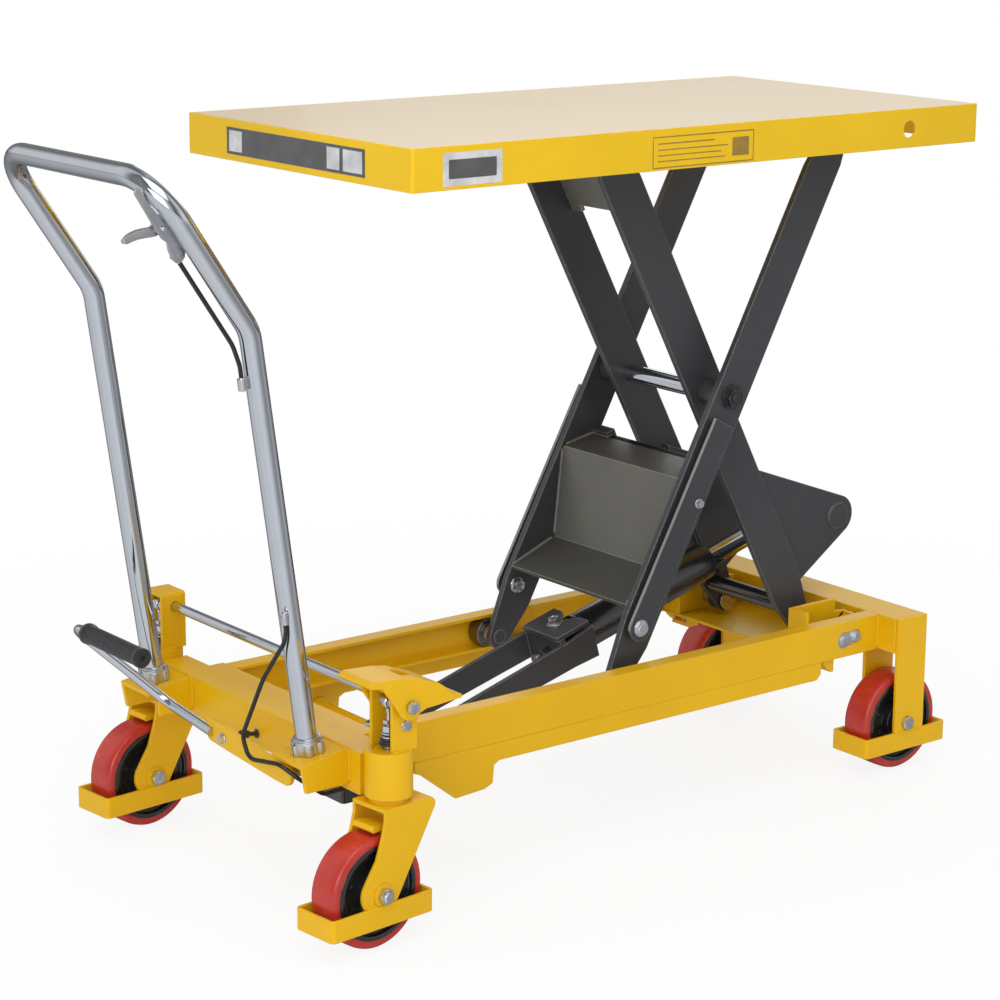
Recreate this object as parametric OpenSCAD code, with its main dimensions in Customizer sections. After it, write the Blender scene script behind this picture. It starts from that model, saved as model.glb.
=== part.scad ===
// Scissor lift truck in its raised pose, standing on the floor z = 0.
// x runs along the truck: push handle, pedals and castors at -x, fixed wheels at +x.
// y = 0 is the middle plane. "Right" parts lie at -y, "left" parts at +y.

/* [Platform] */
// Length of the load platform along the truck
plat_l = 1010; // [900:5:1040]
// Width of the load platform
plat_w = 520; // [480:5:560]
// Depth of the platform skirt
plat_t = 55; // [50:1:60]
// Sheet thickness of the platform tray
plat_s = 4; // [3:1:4]

/* [Scissor] */
// Angle of the scissor arms above horizontal in the raised pose
arm_ang = 62; // [60:1:63]
// Distance from an arm's middle pivot to either end pivot
arm_half = 437.2; // [430:0.1:440]
// Width of the inner arm plates
inner_w = 64; // [56:1:66]
// Width of the outer arm plates
outer_w = 60; // [54:1:64]
// Thickness of the arm plates
arm_t = 10; // [8:1:10]

/* [Base] */
// Height of the side rail channel
rail_h = 55; // [54:1:56]
// Top of the base frame above the floor
frame_top = 241; // [241:1:241]
// Distance from the middle plane to the outside of a side rail
rail_y = 187; // [187:1:189]

/* [Wheels] */
// Radius of all four wheels
wheel_r = 75; // [72:1:75]
// Width of the wheels
wheel_w = 48; // [42:1:48]
// Swivel angle of the castors as modelled
castor_yaw = 5.5; // [-10:0.5:10]
// Trail of the castors
castor_trail = 38; // [36:1:38]

/* [Handle] */
// Outside diameter of the handle tube
handle_d = 28; // [26:1:30]
// Half of the distance between the handle's legs
handle_y = 190; // [185:1:195]

/* [Hydraulics] */
// Outside diameter of the ram barrel
barrel_d = 58; // [54:1:60]
// Diameter of the ram rod
rod_d = 30; // [28:1:32]

/* [Hidden] */
$fn = 48;

YELLOW = "#e3b62c";
DARK = "#4a4b50";
GREY = "#68696a";
CHROME = "#d8dbe0";
ZINC = "#c8ccd4";
PALE = "#b9bcc2";
RED = "#c8302a";
BLACK = "#232426";

// Scissor pivots, as [x, z]
lower_z = 214;
mid_x = 147;
arm_run = arm_half*cos(arm_ang);
arm_rise = arm_half*sin(arm_ang);
upper_z = lower_z + 2*arm_rise;
lower_pin = [mid_x + arm_run, lower_z];
upper_pin = [mid_x + arm_run, upper_z];
lower_roll = [mid_x - arm_run, lower_z];
upper_roll = [mid_x - arm_run, upper_z];
mid_pivot = [mid_x, lower_z + arm_rise];
plat_top = upper_z + 23;

// Faces of the arm plates, as distances from the middle plane
inner_y = 80.5;                 // inside face of the inner arms
inner_out = inner_y + arm_t;
outer_y = 130.6;                // inside face of the outer arms
outer_out = outer_y + arm_t;

pin_r = 12.5;                   // pivot pins
axle_r = 10;                    // wheel axles
castor_x = -555;                // castor swivel axis
castor_y = 278;
fixed_wheel_y = 192;
fixed_axle = [444, wheel_r];    // [x, z]
ram_foot = [-350, 148];         // [x, z]
ram_head = [430, 371];          // [x, z]
ram_length = norm(ram_head - ram_foot);
ram_ang = atan2(ram_head[1] - ram_foot[1], ram_head[0] - ram_foot[0]);
brake_axis = [-545, 316];       // [x, z]
pedal_pivot = [-174, 207];      // [y, z]
grip_axis = [-760, 346.5];      // [x, z]
plunger_at = [-518, -120];      // [x, y]

// ---------- helpers ----------
module x_cyl(radius, from, to, sides=48)
  translate([from,0,0]) rotate([0,90,0]) cylinder(r=radius, h=to-from, $fn=sides);
module y_cyl(radius, from, to, sides=48)
  translate([0,to,0]) rotate([90,0,0]) cylinder(r=radius, h=to-from, $fn=sides);
module z_cyl(radius, from, to, sides=48)
  translate([0,0,from]) cylinder(r=radius, h=to-from, $fn=sides);

// Hexagon heads, sized across flats
module y_hex(flats, from, to) y_cyl(flats/2/cos(30), from, to, 6);
module z_hex(flats, from, to) z_cyl(flats/2/cos(30), from, to, 6);

// Extrudes an x-z outline between two y planes
module y_plate(from, to)
  translate([0,to,0]) rotate([90,0,0]) linear_extrude(height=to-from) children();

module both_sides() {
  children();
  mirror([0,1,0]) children();
}
module at_xz(point) translate([point[0],0,point[1]]) children();
module block(at, size) translate(at) cube(size);
module disc(at, radius, sides) translate(at) circle(r=radius, $fn=sides);

// Closed box, hollow inside, with wall given as [x, y, z]
module hollow_box(at, size, wall) difference() {
  block(at, size);
  block(at + wall, size - 2*wall);
}

// Box with rounded upright edges
module rounded_box(low, high, radius) {
  size = high - low;
  translate(low) linear_extrude(height=size[2]) {
    translate([radius,0]) square([size[0]-2*radius, size[1]]);
    translate([0,radius]) square([size[0], size[1]-2*radius]);
    for (x=[radius, size[0]-radius], y=[radius, size[1]-radius]) disc([x,y], radius, 32);
  }
}

// Round rod through a list of points; radii holds one bend radius per middle point
function unit(v) = v/norm(v);
function bend_angle(points, i) =
  acos(unit(points[i]-points[i-1])*unit(points[i+1]-points[i]));
// Length a bend takes from the straight on either side of point i
function bend_reach(points, radii, i) =
  (i==0 || i==len(points)-1) ? 0 : radii[i-1]*tan(bend_angle(points,i)/2);
module pipe(points, radii, rod_r) {
  overlap = 0.3;    // straights run this far into the bends
  slim = 0.02;      // bends are this much thinner than the straights
  last = len(points) - 1;
  for (i=[0:last-1]) {
    along = unit(points[i+1]-points[i]);
    start = points[i] + along*(bend_reach(points,radii,i) - (i==0 ? 0 : overlap));
    end = points[i+1] - along*(bend_reach(points,radii,i+1) - (i==last-1 ? 0 : overlap));
    translate(start) rotate([0,acos(along[2]),atan2(along[1],along[0])])
      cylinder(r=rod_r, h=norm(end-start), $fn=48);
  }
  for (i=[1:last-1]) {
    before = unit(points[i]-points[i-1]);
    after = unit(points[i+1]-points[i]);
    inward = unit(after - before*(before*after));
    centre = points[i] - before*bend_reach(points,radii,i) + inward*radii[i-1];
    normal = cross(-inward, before);
    multmatrix([[-inward[0],before[0],normal[0],centre[0]],
                [-inward[1],before[1],normal[1],centre[1]],
                [-inward[2],before[2],normal[2],centre[2]],
                [0,0,0,1]])
      rotate_extrude(angle=bend_angle(points,i), $fn=72)
        translate([radii[i-1],0]) circle(r=rod_r-slim, $fn=48);
  }
}

// ---------- base frame ----------
rail_x = -530.9;
rail_l = 947.9;
rail_wall = 5;
rail_flange = 26;
rail_bottom = frame_top - rail_h;

// Two-lobed keeper outline by the lower pin, grown by gap; web joins the lobes
keeper_screw = [18,1];    // from the pin, [x, z]
keeper_web = [[-5,-13],[19,-8],[17,10],[-7,9]];
keyhole_web = [[-5,-13.5],[19,-8.4],[17,10.4],[-7,9.5]];
module keeper_outline(gap, web) translate(lower_pin) {
  disc([-6,-2], 11.6+gap, 40);
  disc(keeper_screw, 9.6+gap, 40);
  polygon(web);
}

// Channel open towards the middle plane, with a keyhole for the pin keeper
module right_side_rail() color(YELLOW) difference() {
  union() {
    block([rail_x,-rail_y,rail_bottom], [rail_l,rail_wall,rail_h]);
    for (z=[frame_top-rail_wall, rail_bottom])
      block([rail_x,-rail_y,z], [rail_l,rail_flange,rail_wall]);
  }
  y_plate(-rail_y-1, -rail_y+6) keeper_outline(0.4, keyhole_web);
}
module left_side_rail() mirror([0,1,0]) right_side_rail();

// [x, z]
skirt_outline = [[-447,185.9],[-447,170],[-437,166],[-379,121],[-330,124],[-316,130],
  [-314,155],[-305,160],[292,160],[300,168],[300,185.9]];
module rail_skirts()
  color(YELLOW) both_sides() y_plate(-rail_y, -rail_y+rail_wall) polygon(skirt_outline);

beam_bottom = 187;
module end_beam() color(YELLOW) {
  hollow_box([417.1,-222.9,beam_bottom], [62,445.8,frame_top-beam_bottom], [4,4,4]);
  // cross plate under the arms' lower pivots
  block([292,-160.9,186], [125.05,321.8,4.9]);
}

leg_bottom = 62.6;
module wheel_leg(y, top) difference() {
  block([419,y,leg_bottom], [60,6,top-leg_bottom]);
  at_xz(fixed_axle) y_cyl(axle_r+0.05, y-1, y+7);
}
module wheel_legs() color(YELLOW) both_sides() {
  wheel_leg(-229, frame_top);
  wheel_leg(-162, 186.9);
}

// Rectangular bumper ring about a wheel
module guard() difference() {
  rounded_box([-85,-37,33], [85,37,62.5], 7);
  rounded_box([-80.5,-32.6,32], [80.5,32.6,64], 3);
}
module fixed_guards()
  color(YELLOW) both_sides() translate([fixed_axle[0],-fixed_wheel_y,0]) guard();

module castor_axis(side=-1) translate([castor_x,side*castor_y,0]) children();

module front_bolster() color(YELLOW) difference() {
  union() {
    hollow_box([-579,-248,beam_bottom], [48,496,56], [4.5,8,4.5]);
    // thin strip over the ends of the rails
    block([-532,-186.9,frame_top+0.02], [24,373.8,1.98]);
  }
  both_sides() castor_axis() z_cyl(31.6, 180, 250);
  translate([0,pedal_pivot[0],pedal_pivot[1]]) x_cyl(6.05, -585, -525);
}

module castor_head_tubes() color(YELLOW) both_sides() castor_axis() difference() {
  z_cyl(31.4, 193, 255, 64);
  z_cyl(20.1, 192, 262, 64);
}

// Sheet towers over the castors that carry the brake shaft
module brake_towers() {
  tower_x = -567;
  tower_l = 39;
  half_w = 20;      // inside
  wall = 5;
  cheek_z = 255.1;
  end_z = 268;      // bottom of the +x end wall
  roof_z = 331;
  color(YELLOW) both_sides() translate([0,-castor_y,0]) difference() {
    union() {
      for (y=[-half_w-wall, half_w])
        block([tower_x,y,cheek_z], [tower_l,wall,roof_z-cheek_z]);
      block([tower_x,-half_w,roof_z], [tower_l,2*half_w,wall]);
      // rounded roof edges
      for (side=[-1,1]) intersection() {
        translate([0,side*half_w,roof_z]) x_cyl(wall, tower_x, tower_x+tower_l, 32);
        block([tower_x, side>0 ? half_w : -half_w-wall, roof_z], [tower_l,wall,wall]);
      }
      block([tower_x+tower_l-wall,-half_w,end_z], [wall,2*half_w,roof_z-end_z]);
    }
    at_xz(brake_axis) y_cyl(7.1, -40, 40);
  }
}

// ---------- handle ----------
// Stations of a handle leg, [x, z]
handle_foot = [-617.2, 232];
handle_knee = [-699, 794];
handle_top = [-829, 987];
leg_lean = atan2(handle_foot[0]-handle_knee[0], handle_knee[1]-handle_foot[1]);
leg_bore = handle_d/2 + 0.05;
function leg_x(z) = handle_foot[0] - tan(leg_lean)*(z - handle_foot[1]);

// Puts children at height z on the right leg, with z along the leg
module on_leg(z) translate([leg_x(z),-handle_y,z]) rotate([0,-leg_lean,0]) children();

// Socket for a handle leg, open below and at its -x end
module handle_bracket() difference() {
  y_plate(-225, -155) polygon([[-579.1,196],[-645,196],[-652,233.5],[-579.1,244.2]]);
  y_plate(-219, -161) polygon([[-583,190],[-660,190],[-660,226.5],[-583,238.2]]);
  block([-662,-162,190], [30,10,37]);
  on_leg(handle_foot[1]) z_cyl(leg_bore, -30, 30);
}
module handle_brackets() color(YELLOW) difference() {
  both_sides() handle_bracket();
  translate([0,pedal_pivot[0],pedal_pivot[1]]) x_cyl(6.05, -590, -570);
}

function leg_points(stations, side) = [for (s=stations) [s[0], side*handle_y, s[1]]];
module handle_tube() color(CHROME)
  pipe(concat(leg_points([handle_foot,handle_knee,handle_top], -1),
              leg_points([handle_top,handle_knee,handle_foot], 1)),
       [60,66,66,60], handle_d/2);

// Six-lobed split collars at the feet of the legs
module handle_collars() color(ZINC) both_sides() on_leg(238.7) difference() {
  union() {
    cylinder(r=19, h=19);
    for (i=[0:5]) rotate(i*60) translate([17.5,0,0]) cylinder(r=6, h=15, $fn=24);
  }
  z_cyl(leg_bore, -1, 39);
  block([-26,-1,-1], [12,2,40]);
}

// Clip round the leg with a cable eye at reach from the leg's axis
module cable_clip(z, turn, reach, eye_r, height, web_x, web_w, bore) on_leg(z) difference() {
  rotate(turn) {
    translate([-reach,0,0]) cylinder(r=eye_r, h=height, $fn=32);
    block([-web_x,-web_w/2,0], [web_x-12,web_w,height]);
  }
  z_cyl(leg_bore, -1, 39);
  rotate(turn) translate([-reach,0,0]) z_cyl(bore, -2, 38, 24);
}
module cable_clips() color(ZINC) {
  cable_clip(z=724, turn=0, reach=20.5, eye_r=6, height=15, web_x=20, web_w=6, bore=3.2);
  cable_clip(z=420, turn=40, reach=20, eye_r=5.4, height=12, web_x=19, web_w=5, bore=3.4);
}

// [x, y, z], from the release lever down
upper_cable = [[-791,-168,895],[-766,-176,852],[-722,-188,778],[-713.5,-190,752],
  [-709.5,-190,724.5]];
lower_cable = [[-661.9,-202.9,432.8],[-658.6,-202.9,409],[-664,-207,396],[-665,-158,336],
  [-665,-107,246],[-665,-122,219],[-658,-182,227],[-644,-205,211],[-606,-206,182],
  [-520,-178,173],[-497,-154,180]];
module release_cable() color(BLACK) {
  cable_r = 2.9;
  pipe(upper_cable, [60,60,30], cable_r);
  pipe(lower_cable, [10,12,150,18,18,20,14,24,40,14], cable_r);
}

release_axis = [-808, 926];   // [x, z]
// From the handle's top bend: [along the upper leg, across it]
release_outline = [[-103,0],[-101,8],[-78,22],[-72,24.5],[-60,25],[-5,23],[-1,20],[-2,14.3],
  [-30,14.3],[-42,12.5],[-50,8],[-57,0],[-60,-6],[-98,-6]];
module release_bracket() color(CHROME) difference() {
  y_plate(-174.9, -171) translate(handle_top)
    rotate(90 + atan2(handle_knee[0]-handle_top[0], handle_top[1]-handle_knee[1]))
      polygon(release_outline);
  at_xz(release_axis) y_cyl(3.1, -180, -160, 32);
}

// From the release axis, [x, z]
trigger_outline = [[-2,6],[-8,-9],[-30,-12],[-41,-16],[-47,-10],[-40,-4],[-32,1],[-20,6]];
module release_lever() color(PALE) at_xz(release_axis) {
  difference() {
    union() {
      y_cyl(7, -170.5, -156, 32);
      for (y=[-170.5,-160.5]) y_plate(y, y+4.5) polygon(trigger_outline);
      translate([-43,0,-9.5]) y_cyl(5, -170.5, -156, 24);
      y_plate(-170.5, -166) polygon([[2,-6],[6,4],[16,-14],[12,-20]]);
    }
    y_cyl(1.55, -180, -150, 24);
  }
  // headed pin
  y_cyl(1.5, -176.5, -154, 24);
  y_cyl(3, -180, -176.5, 24);
}

// ---------- fixed pins and brackets ----------
module lower_pivot_pins() color(ZINC) both_sides() at_xz(lower_pin) {
  y_cyl(pin_r, -181.8, -77);
  y_cyl(16, -77, -74);
}

module lower_pivot_brackets() color(YELLOW) both_sides() difference() {
  union() {
    // lug plate with a wall at each end
    y_plate(-128, -122)
      polygon([[292,191.2],[292,257.5],[384,257.5],[384,238],[408,236],[408,191.2]]);
    block([402,-160.8,191.2], [6,32.8,44]);
    block([292,-160.8,191.2], [6,32.8,66.3]);
    // strap below the cross plate
    y_plate(-181, -161.1)
      polygon([[312,180],[318,172],[326,165],[332,165],[332,185.8],[312,185.8]]);
    block([312,-161,165], [20,38,6]);
    block([312,-128,165], [20,6,20.9]);
  }
  at_xz(lower_pin) y_cyl(pin_r+0.05, -200, -100);
}

module pin_keepers() color(ZINC) both_sides() {
  y_plate(-186.4, -181.9) keeper_outline(0, keeper_web);
  at_xz(lower_pin + keeper_screw) y_hex(9, -189.3, -186.3);
}

module fixed_axles() color(ZINC) both_sides() at_xz(fixed_axle) {
  y_cyl(axle_r, -229.2, -153);
  y_cyl(10.5, -234, -229.1);
  y_hex(26, -153, -145);
  // washers inside the legs
  y_cyl(14, -166.5, -162.1);
  y_cyl(14, -222.9, -217.5);
}

module ram_pivot_shaft() color(YELLOW) at_xz(ram_foot) {
  y_cyl(11, -181.9, 181.9);
  both_sides() y_cyl(15, -181.9, -176);
}

// ---------- foot pump and its pedal ----------
// Body on the +x side of the bolster; its plunger is pressed by the pedal crank
module pump_body() color(DARK) difference() {
  body_top = 185;
  union() {
    rounded_box([-530.8,-140,132], [-452,-76,body_top], 6);
    translate([-470,-108,0]) {
      z_cyl(20, body_top-0.1, 214);
      z_cyl(9, 214, 223, 6);
    }
    translate([0,-92,160]) x_cyl(9, -500, -444);
    translate(plunger_at) z_cyl(11.5, body_top-0.1, 187.4);
  }
  translate(plunger_at) z_cyl(8.1, 138, 198);
}
module pump_plunger() color(CHROME) translate(plunger_at) {
  z_cyl(8, 165, 197.5);
  translate([0,0,197.5]) cylinder(r1=8, r2=6, h=2);
}
module valve_lever() color(ZINC) translate([-490,-140.2,166]) {
  y_cyl(6, -9, -0.1, 32);
  y_plate(-6, -2.5) polygon([[-3,-5],[3,-5],[4,26],[0,30],[-4,26]]);
}
module pump_hose() color(BLACK)
  pipe([[-443,-92,160],[-415,-90,158],[-392,-62,138],[-366,-49.5,128]], [20,20], 5.5);

module pedal_lever() {
  pivot_y = pedal_pivot[0];
  pivot_z = pedal_pivot[1];
  bolt = [-650, -26, pivot_z+9];
  // swinging plate, drawn as [z, y]
  color(YELLOW) difference() {
    translate([-638,0,0]) rotate([0,-90,0]) linear_extrude(height=6) {
      disc([pivot_z,pivot_y], 14, 48);
      polygon([[pivot_z-14,pivot_y],[pivot_z-2,12],[pivot_z+28,12],[pivot_z+14,pivot_y]]);
    }
    translate(bolt) x_cyl(3.6, 0, 20, 32);
  }
  color(ZINC) {
    translate(bolt) {
      x_cyl(3.5, 2, 12.1, 32);
      x_cyl(6, 0, 5.9, 32);
    }
    // pivot shaft through the bolster
    translate([0,pivot_y,pivot_z]) x_cyl(6, -637.9, -520);
    // crank on the +x side of the bolster, drawn as [-z, y]
    translate([-530,0,0]) rotate([0,90,0]) linear_extrude(height=10) {
      disc([-pivot_z,pivot_y], 7.9, 40);
      translate([-pivot_z-6,pivot_y]) square([12,plunger_at[1]-pivot_y]);
      disc([-pivot_z,plunger_at[1]], 7.4, 40);
    }
  }
  // bent rod carrying the grip
  color(CHROME)
    pipe([[-645,-2,219],[-645,112,231],[grip_axis[0],165,grip_axis[1]],
          [grip_axis[0],134,grip_axis[1]]], [34,20], 7);
}
module pedal_grip() color(BLACK) at_xz(grip_axis) {
  y_cyl(12.5, -19, 133.9);
  y_cyl(14.5, 128, 133.9);
}

// ---------- scissor ----------
// Arm frames: +x runs up the arm from its lower end pivot
module along_outer() at_xz(lower_roll) rotate([0,-arm_ang,0]) children();
module along_inner() at_xz(lower_pin) mirror([1,0,0]) rotate([0,-arm_ang,0]) children();

// Arm outline: [along the arm, towards its lower side]
module arm_shape(width) {
  arm_l = 2*arm_half;
  end_r = 18;
  polygon([[-2,-end_r],[88,-width/2],[arm_l-88,-width/2],[arm_l+2,-end_r],
           [arm_l+2,end_r],[arm_l-60,width/2],[60,width/2],[-2,end_r]]);
  for (x=[0,arm_l]) disc([x,0], end_r+0.4, 64);
}
// bores holds the hole radii at the lower, middle and upper pivots
module arm_plate(width, from, to, bores) difference() {
  y_plate(from, to) mirror([0,1]) arm_shape(width);
  for (i=[0:2]) translate([i*arm_half,0,0]) y_cyl(bores[i], from-5, to+5);
}

module inner_arm_right() color(DARK) along_inner() {
  arm_plate(inner_w, -inner_out, -inner_y, [pin_r+0.1,pin_r,11]);
  // boss round the lower pin
  difference() {
    y_cyl(18, -104, -inner_out+0.01);
    y_cyl(pin_r+0.1, -110, -80);
  }
  // roller stud and collar
  translate([2*arm_half,0,0]) {
    y_cyl(10.9, -118.5, -inner_y+0.5);
    y_cyl(15, -93.4, -90.6);
  }
}
module inner_arm_left() mirror([0,1,0]) inner_arm_right();

// Notched plate between the inner arms near their upper ends
module inner_arm_plate()
  color(GREY) along_inner() translate([716,-inner_y+0.1,15]) difference() {
    cube([114,2*inner_y-0.2,6]);
    block([-1,24,-1], [12,2*inner_y-48,8]);
  }
// Cross tube between the inner arms near their lower ends
module inner_arm_tube()
  color(DARK) along_inner() translate([43,0,-11]) y_cyl(13.5, -inner_y+0.1, inner_y-0.1);

// [x, z]
gusset_outline = [[215,482.3],[264,464.4],[440.6,400.1],[447.7,345.6],[355,281],[332,262],
  [300,296],[262,370]];
module ram_gussets() color(DARK) both_sides() difference() {
  union() {
    y_plate(-inner_y+0.05, -inner_y+9) {
      polygon(gusset_outline);
      disc(ram_head, 31, 80);
    }
    at_xz(ram_head) {
      y_cyl(20, -inner_y-3, -inner_y+0.05);
      y_cyl(20, -inner_y+9, -inner_y+19);
    }
  }
  at_xz(ram_head) y_cyl(pin_r+0.1, -inner_y+8, -inner_y+40);
}

module mid_shaft() color(CHROME) at_xz(mid_pivot) {
  y_cyl(13, -inner_y+0.1, inner_y-0.1);
  both_sides() {
    y_cyl(pin_r-0.05, -outer_out-2, -inner_y+0.1);
    y_hex(24, -outer_out-9, -outer_out-2);
    // spacer between the arms, then the washer outside them
    y_cyl(19, -outer_y+0.3, -inner_out-0.3);
    y_cyl(17, -outer_out-2.2, -outer_out-0.2);
  }
}

lock_along = 81.2;    // lock bar pivot, along the outer arm
lock_off = 8;         // and towards the arm's upper side
module outer_arm_right() color(DARK) along_outer() {
  arm_plate(outer_w, -outer_out, -outer_y, [10.5,pin_r+0.05,pin_r+0.1]);
  // lock bar pivot stud, boss and head
  translate([lock_along,0,lock_off]) {
    y_cyl(5.9, -159, -outer_y-0.05, 32);
    y_cyl(9, -148.6, -outer_out, 32);
    y_hex(16, -160.4, -154.4);
  }
  // roller stud and shoulder
  y_cyl(10.45, -181.2, -outer_y+0.6);
  y_cyl(14, -157.4, -outer_out+0.01);
}
module outer_arm_left() mirror([0,1,0]) outer_arm_right();

// Folded plate between the outer arms, with a lug at each arm.
// Both outlines: [along from the middle pivot, towards the arm's lower side]
fold_outline = [[-93,27],[-99,31],[-139.4,-19.2],[-267,31.5],[-337,-27],[-333,-31.5],
  [-266,25],[-137.4,-26.2]];
fold_lug_outline = [[-84,24],[-92,34],[-104,24],[-96,14]];
module outer_arm_box() {
  color(GREY) along_outer() translate([arm_half,0,0])
    y_plate(-outer_y+0.05, outer_y-0.05) mirror([0,1]) polygon(fold_outline);
  color(DARK) both_sides() along_outer() translate([arm_half,0,0])
    y_plate(-outer_y+0.2, -outer_y+36) mirror([0,1]) polygon(fold_lug_outline);
}

// Roller with a ring groove in its outboard face
module roller(radius, from, to, bore) difference() {
  y_cyl(radius, from, to, 64);
  y_cyl(bore, from-1, to+1);
  difference() {
    y_cyl(radius-4, from-1, from+1.5);
    y_cyl(bore+4, from-1, from+1.5);
  }
}
module lower_rollers()
  color(ZINC) both_sides() at_xz(lower_roll) roller(21.8, -181.2, -158, 10.55);
module upper_rollers()
  color(ZINC) both_sides() at_xz(upper_roll) roller(17.6, -117.5, -94, 10.95);

module lock_bar_right() {
  bar_end = arm_half - 40;
  stop_at = [arm_half-160, -6];   // small headed pin through the bar
  color(GREY) along_outer() difference() {
    y_plate(-154.3, -149) mirror([0,1]) {
      polygon([[lock_along,-28],[bar_end,-24],[bar_end,14],[lock_along,12]]);
      disc([lock_along,-lock_off], 20, 64);
    }
    translate([lock_along,0,lock_off]) y_cyl(6.1, -160, -140, 32);
    at_xz(stop_at) y_cyl(3.6, -160, -140, 24);
  }
  color(ZINC) along_outer() at_xz(stop_at) {
    y_cyl(3.5, -158.2, -149.5, 24);
    y_cyl(5.5, -158.4, -154.4, 32);
  }
}
module lock_bar_left() mirror([0,1,0]) lock_bar_right();

// ---------- platform ----------
plat_bottom = plat_top - plat_t;
module platform_tray() color(YELLOW) difference() {
  half_l = plat_l/2;
  half_w = plat_w/2;
  rounded_box([-half_l,-half_w,plat_bottom], [half_l,half_w,plat_top], 5);
  rounded_box([-half_l+plat_s,-half_w+plat_s,plat_bottom-1.01],
              [half_l-plat_s,half_w-plat_s,plat_top-plat_s-0.01], 1.5);
  // round hole in the right skirt
  at_xz([366,plat_top-29]) y_cyl(12, -plat_w, 0);
}

module platform_tracks() color(YELLOW) {
  track_z = plat_bottom + 2;
  track_h = plat_t - plat_s - 2.02;
  rib_z = plat_top - plat_s - 24;
  rib_h = 23.98;
  both_sides() {
    // roller track, an L of web and lower flange
    block([-500.9,-124,track_z], [480,5,track_h]);
    block([-500.9,-124,track_z], [480,30,4]);
    // pivot lugs for the outer arms, [y, thickness]
    difference() {
      for (lug=[[-152,9],[-128.2,8]]) block([300,lug[0],track_z], [104,lug[1],track_h]);
      at_xz(upper_pin) y_cyl(pin_r+0.05, -160, -110);
    }
    for (x=[-250,0,200,430]) block([x,-255.9,rib_z], [6,100,rib_h]);
  }
  block([440,-118,rib_z], [6,236,rib_h]);
}

module upper_pivot_pins() color(ZINC) both_sides() at_xz(upper_pin) {
  y_cyl(pin_r, -156, -114);
  y_cyl(16, -159, -156);
  y_cyl(16, -114, -111);
}

// ---------- hydraulic ram ----------
// Ram frame: +x runs from the foot to the head
module along_ram() at_xz(ram_foot) rotate([0,-ram_ang,0]) children();

// [along the ram, towards its lower side]
yoke_outline = [[0,-17],[300,-21],[345,-26],[345,24],[300,21],[0,17]];
module ram_yoke() {
  bolt_x = 312;
  color(DARK) along_ram() {
    both_sides() difference() {
      union() {
        y_plate(-46, -40) mirror([0,1]) polygon(yoke_outline);
        y_cyl(20, -46, -36);
      }
      y_cyl(11.1, -60, -30);
    }
    // top plate with a bolt hole and a V notch
    difference() {
      block([282,-39.9,26.2], [62,79.8,7]);
      translate([bolt_x,0,0]) z_cyl(5.1, 20, 40, 32);
      translate([344,0,20]) rotate(45) cube([28,28,40], center=true);
    }
    // cross wall behind the barrel
    block([286,-39.9,-24], [10,79.8,50]);
  }
  color(ZINC) along_ram() translate([bolt_x,0,33.3]) {
    z_hex(13, 0, 7);
    z_cyl(5, -6.9, 0.1, 32);
  }
}

// Barrel steps: [less than barrel_d, from, to]
barrel_steps = [[6,296.2,308.2],[8,308,606],[0,346,584],[3,584,602]];
module ram_barrel() {
  color(DARK) along_ram() difference() {
    for (step=barrel_steps) x_cyl((barrel_d-step[0])/2, step[1], step[2], 64);
    x_cyl(21, 318, 588, 64);
    x_cyl(rod_d/2+0.1, 500, 700, 64);
  }
  // fitting at the foot end
  color(ZINC) along_ram() translate([272,-8,2]) {
    x_cyl(7, 0, 13.9, 6);
    x_cyl(4.5, -16, 0, 32);
  }
}

module ram_rod() color(CHROME) along_ram() difference() {
  piston_x = 572;
  union() {
    x_cyl(20.8, piston_x, piston_x+14, 64);
    x_cyl(rod_d/2, piston_x, ram_length-14, 64);
    translate([ram_length,0,0]) y_cyl(25, -26, 26, 64);
  }
  translate([ram_length,0,0]) y_cyl(pin_r+0.1, -30, 30);
}

module ram_eye_pin() color(ZINC) at_xz(ram_head) {
  y_cyl(pin_r, -60.9, 60.9);
  both_sides() y_cyl(20, -30, -26.1);
}

// ---------- wheels ----------
module wheel() {
  half_w = wheel_w/2;
  bevel = 2;
  // tread ring with bevelled edges
  color(RED) difference() {
    union() {
      y_cyl(wheel_r, -half_w+bevel, half_w-bevel, 96);
      both_sides() translate([0,-half_w+bevel,0]) rotate([90,0,0])
        cylinder(r1=wheel_r, r2=wheel_r-2.5, h=bevel, $fn=96);
    }
    y_cyl(wheel_r-11, -30, 30, 96);
  }
  // centre, with stepped recesses round the hub: [in from wheel_r, depth]
  color(BLACK) difference() {
    y_cyl(wheel_r-10.95, -half_w+0.6, half_w-0.6, 96);
    both_sides() translate([0,-half_w,0]) for (recess=[[20,7],[36,12]]) difference() {
      y_cyl(wheel_r-recess[0], -recess[1], recess[1], 96);
      y_cyl(22, -recess[1]-1, recess[1]+1, 64);
    }
    y_cyl(axle_r+0.1, -30, 30);
  }
}
module fixed_wheel_right() translate([fixed_axle[0],-fixed_wheel_y,fixed_axle[1]]) wheel();
module fixed_wheel_left() translate([fixed_axle[0],fixed_wheel_y,fixed_axle[1]]) wheel();

// Castor frame: origin on the floor below the swivel axis, wheel trailing to -x
module castor(side) castor_axis(side) rotate(castor_yaw) children();
module at_castor_axle() translate([-castor_trail,0,wheel_r]) children();

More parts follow.
